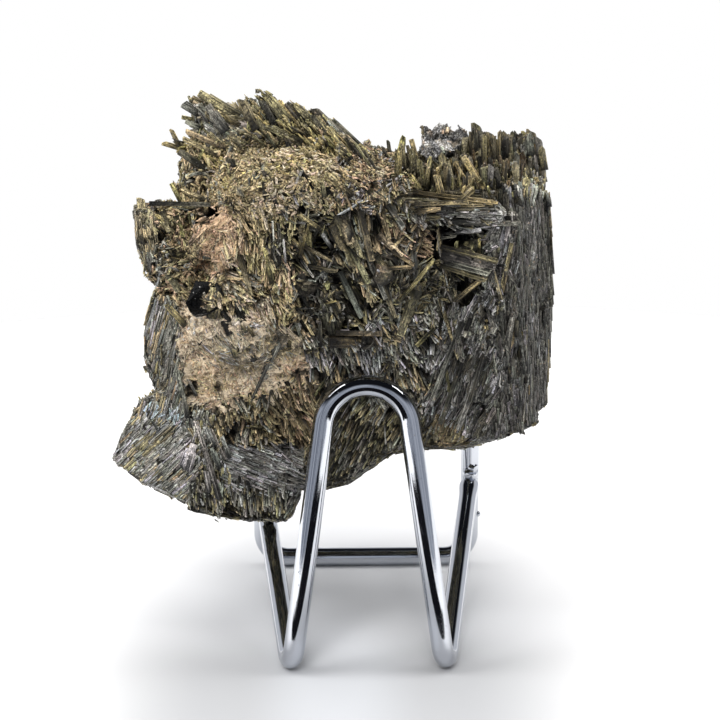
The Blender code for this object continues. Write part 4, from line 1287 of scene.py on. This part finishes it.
def hollowness(spots, voids):
    """From 0 on solid ground to 1 in the cavities that take up about a share voids."""
    waves = np.array([noise.noise(Vector(spot) * VOID_SCALE) for spot in spots])
    edge = VOID_LEVEL - VOID_GAIN * np.sqrt(voids)
    return np.clip((waves - edge) / VOID_EDGE, 0, 1) * (voids > 0)


def grow_region(name, spots, normals, rock, habits, lines, dice):
    """The crystals of one region, as rows of numbers."""
    spec = REGIONS[name]
    open_here = hollowness(spots, np.full(len(spots), spec["voids"])) > 0.5
    spots, normals = spots[~open_here], normals[~open_here]
    patch = patches(spots)
    count = len(spots)
    size = dice.random(count)
    length = spec["length"][0] + (spec["length"][1] - spec["length"][0]) * size ** 1.3
    width = spec["width"][0] + (spec["width"][1] - spec["width"][0]) * (
        0.5 * size ** 1.6 + 0.5 * dice.random(count) ** 1.6)
    thickness = width * dice.uniform(*spec["flat"], count)
    proud = dice.uniform(*spec["proud"], count)
    stray = 0.75 * patch + 0.45 * dice.uniform(-1, 1, (count, 3))
    growth = np.array(spec["grow"]) + stray * spec["spread"]
    if spec["lift"] is None:
        along = unit(growth)
        low = np.maximum(0, 0.12 - (along * normals).sum(1))
        along = unit(along + normals * low[:, None])
    else:
        flat = unit(growth - normals * (growth * normals).sum(1)[:, None])
        along = unit(flat + normals * dice.uniform(*spec["lift"], count)[:, None])
    across = unit(np.cross(along, normals))
    roll = dice.normal(0, 0.5 if spec["habit"] == "blade" else 0.18, count)[:, None]
    across = across * np.cos(roll) + np.cross(along, across) * np.sin(roll)
    tip = spots + normals * (proud - thickness * 0.4)[:, None]
    first, kinds = habits[spec["habit"]]
    shape = first + dice.integers(0, kinds, count)
    alike = dice.random(count) < BUNDLE_ALIKE
    lot = np.where(alike, (patch[:, 1] + 1) / 2, dice.random(count))
    tints = tints_of(spec["mix"], lot, spec["vary"], dice)
    low_side, high_side = spec["proud"]
    level = (proud - low_side) / (high_side - low_side)
    buried_shade = ((1 - level) * min(1.0, (high_side - low_side) / 1.5))[:, None]
    under = colour_values(spec["under"])
    bundle = np.exp(patch[:, 2] * spec["vary"] * 0.8)[:, None]
    # Painted shade: crystals whose tips lie lower are drawn darker and pulled towards the region's
    # under colour; light is the region's brightness, partly painted light and shade.
    tints = (tints * (1 - 0.8 * buried_shade) + under * 0.6 * buried_shade) * bundle * spec["light"]
    tints = in_range(tints)
    dust = spec["dust"] * dice.uniform(0.5, 1.3, count) * (1 - 0.8 * buried_shade[:, 0])
    luck = dice.random(count)
    lying = spec["sink"] < 0.5
    length = np.array([
        trimmed(rock, t, a, size, max(reach, 0), lying)
        for t, a, size, reach in zip(tip, along, length, proud)
    ])
    good = length > 1.2 * width
    # How much of a crystal shows above the mass sets how far down its painted root shade reaches.
    shown = np.minimum(
        length, (proud + spec["sink"]) / np.maximum((along * normals).sum(1), 0.04))
    share = np.clip(shown / np.maximum(length, 0.01), 0.12, 1.0)
    deep = (share - 1) / share
    if lying:
        deep = np.full(count, 0.45)
    wire = stand_sizes().wire_radius / MM
    good &= clear_of_wires(tip, along, length, width, lines, wire)
    rows = np.column_stack(
        (shape, tip, along, across, length, width, thickness, tints, dust, deep, luck))
    return rows[good]


def single_crystals(rock, habits, dice):
    """The large crystals that stand out, rooted where the view meets the specimen."""
    found = {}
    for piece, group in SINGLES.items():
        for colour, habit, crystals in group:
            for tip_u, tip_v, root_u, root_v, width, flat, tip_out, root_out in crystals:
                found.setdefault(piece, []).append(placed_by_view(
                    rock, habits[habit], colour, (tip_u, tip_v), (root_u, root_v),
                    (tip_out, root_out), width * SINGLE_WIDTH, flat, SINGLE_LIGHT[piece], dice))
    for piece, fringes in FRINGES.items():
        for colours, habit, line, (run_u, run_v), count, widths, out, stray in fringes:
            at_u = np.linspace(line[0][0], line[-1][0], count)
            at_v = np.interp(at_u, [u for u, _ in line], [v for _, v in line])
            for u, v in zip(at_u, at_v):
                tip = (u + dice.uniform(-1, 1), v + stray * dice.uniform(-0.3, 1))
                root = (tip[0] + run_u + dice.uniform(-5, 5),
                        tip[1] + run_v * dice.uniform(0.7, 1.2))
                if met_further_on(rock, tip, root) is None:
                    continue
                found.setdefault(piece, []).append(placed_by_view(
                    rock, habits[habit], dice.choice(colours), tip, root,
                    (out * dice.uniform(-1, 1), -0.8), dice.uniform(*widths), 0.8,
                    SINGLE_LIGHT[piece] * dice.uniform(0.5, 1.3), dice))
    return {piece: np.array(rows) for piece, rows in found.items()}


def placed_by_view(rock, habit, colour, tip_pixel, root_pixel, out, width, flat, light, dice):
    """One crystal between two image places, as a row of numbers."""
    toward = np.array(-camera_axes()[2])
    tip_at = rock.at_pixel(*tip_pixel)
    root_at = rock.at_pixel(*root_pixel)
    apart = math.dist(tip_pixel, root_pixel) * PIXEL_MM
    if tip_at is None or root_at is None or (tip_at - root_at).length > 1.6 * apart + 1.0:
        known = root_at or tip_at or met_further_on(rock, tip_pixel, root_pixel)
        if known is None:
            raise RuntimeError("a single crystal has neither end on the specimen")
        tip_at, root_at = edge_places(tip_pixel, root_pixel, known)
    tip = np.array(tip_at) + toward * out[0]
    root = np.array(root_at) + toward * out[1]
    length = np.linalg.norm(tip - root)
    along = (tip - root) / length
    across = unit(np.cross(along, toward - along * (along @ toward)))
    first, kinds = habit
    tint = in_range(tints_of({colour: 1}, np.zeros(1), 0.2, dice) * light)[0]
    return (first + dice.integers(kinds), *tip, *along, *across, length, width, width * flat,
            *tint, SINGLE_DUST, SINGLE_DEEP, dice.random())


def met_further_on(rock, tip_pixel, root_pixel):
    """Where the line from a tip to its root and beyond meets the specimen, if it does."""
    for further in (1.0, 1.5, 2.0, 3.0, 4.0):
        met = rock.at_pixel(*(a + (b - a) * further for a, b in zip(tip_pixel, root_pixel)))
        if met is not None:
            return met
    return None


def edge_places(tip_pixel, root_pixel, known):
    """Places for a crystal that stands against the background: it stays at its root's depth."""
    eye = Vector(CAMERA_PLACE)
    away = (known - eye).dot(camera_axes()[2])
    return [eye + view_ray(*pixel) * away for pixel in (tip_pixel, root_pixel)]


def grow_layers():
    """Roots crystals all over the specimen: their rows by layer, and the shapes they repeat."""
    noise.seed_set(SEED)
    dice = np.random.default_rng(SEED)
    rock = Rock()
    shapes, habits = [], {}
    for habit, members in crystal_shapes().items():
        habits[habit] = (len(shapes), len(members))
        shapes += members
    lines = wire_lines()
    thickest = max(spec["density"] for spec in REGIONS.values())
    spots, normals = rock.scatter(int(thickest * rock.areas.sum()), dice)
    regions = np.array(region_of(spots, normals, rock.seen(spots), dice))
    chance = dice.random(len(spots))
    grown = {}
    for name, spec in REGIONS.items():
        mine = (regions == name) & (chance < spec["density"] / thickest)
        if mine.any():
            rows = grow_region(name, spots[mine], normals[mine], rock, habits, lines, dice)
            grown.setdefault(spec["piece"], []).append(rows)
    for piece, rows in single_crystals(rock, habits, dice).items():
        grown.setdefault(piece, []).append(rows)
    return grown, shapes


LAYER_CACHE = {}


def finished(name, build):
    """The material of that name, built once."""
    return bpy.data.materials.get(name) or build()


def make_layer(layer):
    """Builds one layer's piece; the first call grows all of them."""
    if not LAYER_CACHE:
        LAYER_CACHE["all"] = grow_layers()
    grown, shapes = LAYER_CACHE["all"]
    mesh = crystals_mesh(layer + "_crystals", np.concatenate(grown[layer]), shapes)
    piece_from(mesh, finished("crystal_faces", crystal_material))
    return {"FINISHED"}


# ---------------------------------------------------------------- operators

WELD_DISTANCE = 0.00001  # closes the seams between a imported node's faces
COLUMN_WIDTH = 1.2
COLUMN_LENGTH = 9.0
COLUMN_SWAY, SWAY_SCALE = 1.2, 0.11
CAVITY_DEPTH = 1.3
NO_RIM = (0.0, 9.0, 9.0)  # no edge is near
CORE_VOXEL = 0.66


def remeshed(node, voxel_mm):
    """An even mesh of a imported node's surface, in stand millimetres."""
    bm = bmesh.new()
    bm.from_mesh(node.data)
    bmesh.ops.remove_doubles(bm, verts=bm.verts, dist=WELD_DISTANCE)
    holder = linked("even", mesh_of(bm, "even"))
    remesh = holder.modifiers.new("even", "REMESH")
    remesh.mode = "VOXEL"
    remesh.voxel_size = voxel_mm * MM
    solid = bpy.data.meshes.new_from_object(
        holder.evaluated_get(bpy.context.evaluated_depsgraph_get()))
    bpy.data.objects.remove(holder, do_unlink=True)
    solid.vertices.foreach_set(
        "co", (read(solid.vertices, "co") / MM - STAND_ORIGIN).ravel())
    solid.update()
    solid.materials.clear()
    return solid


def growth_axes(grow):
    """Two directions across a growth direction, and the direction itself."""
    along = unit(np.array(grow, dtype=float))
    helper = np.array((0.0, 1.0, 0.0)) if abs(along[1]) < 0.9 else np.array((1.0, 0.0, 0.0))
    first = unit(np.cross(along, helper))
    return np.stack((first, np.cross(along, first), along))


def corner_owners(mesh, number):
    """Each corner's number, which is that of its face's first vertex."""
    corners = read(mesh.loops, "vertex_index", 1, np.int32)
    starts = read(mesh.polygons, "loop_start", 1, np.int32)
    sizes = read(mesh.polygons, "loop_total", 1, np.int32)
    return corners, np.repeat(number[corners[starts]], sizes)


class SPECIMEN_OT_core(bpy.types.Operator):
    """Builds the columned and granular mass that the crystals grow from"""

    bl_idname = "specimen.core"
    bl_label = "Crystal Mass"

    def execute(self, context):
        noise.seed_set(SEED)
        dice = np.random.default_rng(SEED + 5)
        mesh = remeshed(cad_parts["epidote"], CORE_VOXEL)
        mesh.name = "crystal_mass"
        places, normals = read(mesh.vertices, "co"), read(mesh.vertices, "normal")
        regions = region_of(places, normals, Rock().seen(places + normals * 0.5), dice)
        names = list(REGIONS)
        number = np.array([names.index(name) for name in regions])
        axes = np.stack([growth_axes(REGIONS[name]["grow"]) for name in names])
        bent = places + np.array([
            noise.noise_vector(Vector(p) * SWAY_SCALE) * COLUMN_SWAY for p in places])
        turned = np.einsum("nij,nj->ni", axes[number], bent)
        cell_place = turned / (COLUMN_WIDTH, COLUMN_WIDTH, COLUMN_LENGTH)
        cells = np.array([noise.cell(Vector(p)) for p in cell_place])
        rough = np.array([
            noise.noise(Vector(p) * 1.1) + 0.6 * noise.noise(Vector(p) * 2.3) for p in places])
        ribs = np.array([noise.noise(Vector((p[0] * 1.3, p[1] * 1.3, p[2] * 0.14)))
                         for p in turned])

        def of_region(key):
            return np.array([REGIONS[name][key] for name in names])[number]

        height = of_region("ridges") * ((cells - 0.5) * 1.1 + ribs * 0.8)
        height += of_region("grit") * rough - of_region("sink")
        hollow = hollowness(places, of_region("voids"))
        height -= CAVITY_DEPTH * hollow
        mesh.vertices.foreach_set("co", (places + normals * height[:, None]).ravel())
        pick = np.array([noise.cell(Vector(p) * 0.9 + Vector((50, 0, 0))) for p in bent])
        tints = np.ones((len(places), 4))
        for k, name in enumerate(names):
            mine = number == k
            chosen = drawn_from(REGIONS[name]["mix"], pick[mine])
            tints[mine, :3] = 0.5 * colour_values(REGIONS[name]["ground"]) + 0.5 * chosen
        # Painted shade: the mass is drawn darker the further it sinks below the imported solid and
        # nearly black in the cavities; light is the region's brightness, partly painted light and
        # shade.
        open_sky = np.clip(1.15 - 0.36 * of_region("sink"), 0.3, 1.0)
        tints[:, :3] *= ((0.72 + 0.5 * cells) * of_region("light") * open_sky
                         * (1 - 0.93 * hollow))[:, None]
        tints[:, 3] = of_region("dust")
        corners, owner = corner_owners(mesh, number)
        lines = np.einsum("nij,nj->ni", axes[owner], bent[corners])
        paint_marks(mesh, tints, np.ones(len(places)), lines, np.full(lines.shape, NO_RIM))
        core = piece_from(mesh, finished("crystal_faces", crystal_material))
        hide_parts("epidote")
        return {"FINISHED"}


class SPECIMEN_OT_crest(bpy.types.Operator):
    """Grows the peak and the leaning crest blades"""

    bl_idname = "specimen.crest"
    bl_label = "Crest Crystals"

    def execute(self, context):
        return make_layer("crest")


class SPECIMEN_OT_dome(bpy.types.Operator):
    """Grows the fine druse of the dome"""

    bl_idname = "specimen.dome"
    bl_label = "Dome Crystals"

    def execute(self, context):
        return make_layer("dome")


class SPECIMEN_OT_crown(bpy.types.Operator):
    """Grows the upright columns, the ledge and its band"""

    bl_idname = "specimen.crown"
    bl_label = "Crown Crystals"

    def execute(self, context):
        return make_layer("crown")


class SPECIMEN_OT_heart(bpy.types.Operator):
    """Grows the crossing blades of the middle"""

    bl_idname = "specimen.heart"
    bl_label = "Heart Crystals"

    def execute(self, context):
        return make_layer("heart")


class SPECIMEN_OT_left(bpy.types.Operator):
    """Grows the slabs and bumps of the left side"""

    bl_idname = "specimen.left"
    bl_label = "Left Crystals"

    def execute(self, context):
        return make_layer("left")


class SPECIMEN_OT_pale(bpy.types.Operator):
    """Grows the pale granular mass"""

    bl_idname = "specimen.pale"
    bl_label = "Pale Grains"

    def execute(self, context):
        return make_layer("pale")


class SPECIMEN_OT_keel(bpy.types.Operator):
    """Grows the fibres of the foot and the keel"""

    bl_idname = "specimen.keel"
    bl_label = "Keel Crystals"

    def execute(self, context):
        return make_layer("keel")


class SPECIMEN_OT_right(bpy.types.Operator):
    """Grows the striated right side"""

    bl_idname = "specimen.right"
    bl_label = "Right Crystals"

    def execute(self, context):
        return make_layer("right")


class SPECIMEN_OT_rear(bpy.types.Operator):
    """Grows the back of the specimen"""

    bl_idname = "specimen.rear"
    bl_label = "Rear Crystals"

    def execute(self, context):
        return make_layer("rear")


REAR_GAP = 0.15  # between the arms' flat ends and the rear legs
BEAD_START, BEAD_REACH = 0.8, 1.1  # where the arms swell into the weld, and over what length
WELD_DROPS = (((0, -1.4, 2.3), 1.7), ((0.5, -1.6, 3.6), 1.15))  # from each arm's end, and size
BURR_PLACE, BURR_SIZE = (1.8, -0.6, -7.5), 0.7  # on the right rear leg, from the arm's end
SHARP_ANGLE = math.radians(50)


class SPECIMEN_OT_wires(bpy.types.Operator):
    """Bends both round wires of the stand and adds their weld beads"""

    bl_idname = "specimen.wires"
    bl_label = "Bright Wires"

    def execute(self, context):
        sizes = stand_sizes()
        radius = sizes.wire_radius / MM
        swell = sizes.weld_swell / MM
        material = finished("bright_plating", bright_wire_material)
        path = refined(front_wire_path(), False, 2.0)
        ends = (path[0], path[-1])

        def front_radius(point):
            from_end = min((point - end).length for end in ends)
            return radius + swell * math.exp(-((from_end - radius - BEAD_START) / BEAD_REACH) ** 2)

        bm = round_wire(path, False, front_radius)
        cut_flat(bm, (0, sizes.rear_y / MM - radius - REAR_GAP, 0), (0, 1, 0))
        for end in ends:
            for place, size in WELD_DROPS:
                weld_lump(bm, end + Vector(place), size)
        weld_lump(bm, ends[1] + Vector(BURR_PLACE), BURR_SIZE)
        front = piece_from(mesh_of(bm, "front_wire_bright"), material, smooth=True)
        front.data.set_sharp_from_angle(angle=SHARP_ANGLE)
        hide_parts("front_wire")
        bm = round_wire(refined(rear_wire_path(), True, 2.5), True, lambda point: radius)
        rear = piece_from(mesh_of(bm, "rear_wire_bright"), material, smooth=True)
        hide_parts("rear_wire")
        return {"FINISHED"}


def softbox(name, place, aim, width, height, power, colour):
    """A soft rectangular lamp, placed in stand millimetres."""
    lamp = bpy.data.lights.new(name, "AREA")
    lamp.shape = "RECTANGLE"
    lamp.size = width * MM
    lamp.size_y = height * MM
    lamp.energy = power
    lamp.color = colour
    holder = linked(name, lamp)
    turn = (Vector(aim) - Vector(place)).to_track_quat("-Z", "Y").to_matrix().to_4x4()
    holder.matrix_world = Matrix.Translation(to_frame(place)) @ turn
    return holder


FLOOR_RADIUS = 340.0
CARD_HALF = (120, 330)  # half the width and the depth of the card
CARD_PLACE = (0, -380, 0.3)
LAMP_AIM = (0, 20, 45)
LAMP_COLOUR = (1.0, 0.99, 0.975)
# Name, place, width, height, power, and whether the gloss shows it.
LAMPS = (
    ("top_box", (0, 0, 520), 640, 440, 4.0, False),
    ("left_box", (-420, -60, 320), 260, 320, 1.75, False),
    ("right_box", (430, -40, 320), 260, 320, 1.3, False),
    ("front_box", (-100, -420, 400), 300, 160, 2.4, False),
    ("left_glint", (-330, -20, 430), 170, 220, 0.55, True),
    ("right_glint", (340, 10, 420), 110, 150, 0.25, True),
)


def set_surroundings(scene):
    """A white backdrop all round to look at, and for light and gloss a dark room in front of it."""
    world = scene.world or bpy.data.worlds.new("surroundings")
    scene.world = world
    world.use_nodes = True
    world.node_tree.nodes.clear()
    p = Nodes(world.node_tree)
    way = p.node("ShaderNodeTexCoord", out="Generated")
    _, back, up = p.parts(way)
    bands = p.noise(p.stretched(way, (7.0, 7.0, 0.6)), 1.0, 3.0, 0.65)
    wall = p.mixed(p.between(bands, 0.40, 0.60), (0.24, 0.265, 0.32), (0.60, 0.63, 0.70))
    room = p.mixed(p.between(up, 0.30, 0.55), wall, (0.010, 0.011, 0.014))
    around = p.mixed(p.between(back, 0.05, 0.30) * p.between(up, 0.65, 0.45), room,
                     (0.80, 0.81, 0.84))
    seen = p.node("ShaderNodeLightPath", out="Is Camera Ray")
    colour = p.mixed(seen, around, (1.0, 1.0, 1.0))
    light = p.node("ShaderNodeBackground", None, {"Color": colour, "Strength": 1.0})
    p.node("ShaderNodeOutputWorld", None, {"Surface": light}, out=None)


def dark_card():
    """A black card on the table in front of the feet, which only the polished wires see."""
    bm = bmesh.new()
    bmesh.ops.create_grid(bm, x_segments=1, y_segments=1, size=1.0)
    bmesh.ops.transform(bm, matrix=Matrix.Diagonal((*CARD_HALF, 1, 1)), verts=bm.verts)
    bmesh.ops.translate(bm, vec=CARD_PLACE, verts=bm.verts)
    bmesh.ops.transform(
        bm, matrix=Matrix.Scale(MM, 4) @ Matrix.Translation(STAND_ORIGIN), verts=bm.verts)
    mesh = mesh_of(bm, "dark_card")
    paint = Paint("card_black", Roughness=0.9, Specular_IOR_Level=0.0)
    mesh.materials.append(paint.finish(Base_Color=(0.004, 0.004, 0.005)))
    card = linked("dark_card", mesh)
    card.visible_camera = False
    card.visible_diffuse = False
    card.visible_shadow = False


def floor_material():
    """A white table with a painted shadow: greyer round the feet and in front of them, where the
    specimen shades it.
    """
    p = Paint("floor_white", Specular_IOR_Level=0.1, Roughness=0.9)
    side, back, _ = p.parts(p.vector("SUBTRACT", p.object_place(), tuple(STAND_ORIGIN)))
    side = side + 6.0
    behind = p.math("MAXIMUM", back, 0.0) * 0.5 + p.math("MINIMUM", back, 0.0) * 0.3
    away = p.math("SQRT", side * side + behind * behind)
    # Painted shadow: the colour is greyer near the stand, most of all in front of it.
    near = p.mixed(p.between(away, 4, 18), (0.60, 0.615, 0.645), (0.50, 0.508, 0.525))
    near = p.scaled(near, p.between(back, 0, 28, 0.62, 1.04))
    near = p.mixed(p.between(away, 22, 70), near, (0.68, 0.68, 0.685))
    return p.finish(Base_Color=p.mixed(p.between(away, 65, 150), near, (0.84, 0.84, 0.84)))


def white_floor():
    """The table top that the stand is on."""
    bm = bmesh.new()
    bmesh.ops.create_circle(bm, cap_ends=True, segments=96, radius=FLOOR_RADIUS)
    mesh = mesh_of(bm, "floor")
    mesh.transform(Matrix.Translation(STAND_ORIGIN * MM) @ Matrix.Scale(MM, 4))
    mesh.materials.append(floor_material())
    mesh.shade_smooth()
    linked("floor", mesh)


def set_camera(scene):
    """The camera that looks at the specimen from the front."""
    right, upward, ahead = camera_axes()
    camera = bpy.data.cameras.new("view")
    camera.lens = LENS_MM
    camera.sensor_width = SENSOR_MM
    camera.clip_start = 0.01
    camera.clip_end = 20.0
    scene.camera = linked("view", camera)
    turn = Matrix((right, upward, -ahead)).transposed().to_4x4()
    scene.camera.matrix_world = Matrix.Translation(to_frame(CAMERA_PLACE)) @ turn


class SPECIMEN_OT_stage(bpy.types.Operator):
    """Sets the floor, the soft lamps, the surroundings and the camera"""

    bl_idname = "specimen.stage"
    bl_label = "Stage"

    def execute(self, context):
        scene = context.scene
        white_floor()
        set_surroundings(scene)
        dark_card()
        for name, place, width, height, power, glossy in LAMPS:
            lamp = softbox(name, place, LAMP_AIM, width, height, power, LAMP_COLOUR)
            lamp.visible_glossy = glossy
        set_camera(scene)
        scene.view_settings.view_transform = "Standard"
        return {"FINISHED"}


OPERATORS = (
    SPECIMEN_OT_core, SPECIMEN_OT_crest, SPECIMEN_OT_dome, SPECIMEN_OT_crown, SPECIMEN_OT_heart,
    SPECIMEN_OT_left, SPECIMEN_OT_pale, SPECIMEN_OT_keel, SPECIMEN_OT_right, SPECIMEN_OT_rear,
    SPECIMEN_OT_wires, SPECIMEN_OT_stage,
)


class SPECIMEN_PT_panel(bpy.types.Panel):
    """Lists the pieces of the specimen and its stand"""

    bl_label = "Specimen"
    bl_idname = "SPECIMEN_PT_panel"
    bl_space_type = "VIEW_3D"
    bl_region_type = "UI"
    bl_category = "Specimen"

    def draw(self, context):
        for operator in OPERATORS:
            self.layout.operator(operator.bl_idname)
        for settings in (context.scene.specimen_stand, context.scene.specimen_stone):
            for name in settings.bl_rna.properties.keys():
                if name not in ("rna_type", "name"):
                    self.layout.prop(settings, name)


CLASSES = (StandSettings, StoneSettings, *OPERATORS, SPECIMEN_PT_panel)


def register():
    for cls in CLASSES:
        bpy.utils.register_class(cls)
    bpy.types.Scene.specimen_stand = bpy.props.PointerProperty(type=StandSettings)
    bpy.types.Scene.specimen_stone = bpy.props.PointerProperty(type=StoneSettings)


def unregister():
    del bpy.types.Scene.specimen_stone
    del bpy.types.Scene.specimen_stand
    for cls in reversed(CLASSES):
        bpy.utils.unregister_class(cls)


def main():
    register()
    for operator in OPERATORS:
        group, action = operator.bl_idname.split(".")
        getattr(getattr(bpy.ops, group), action)()


if __name__ == "__main__":
    main()
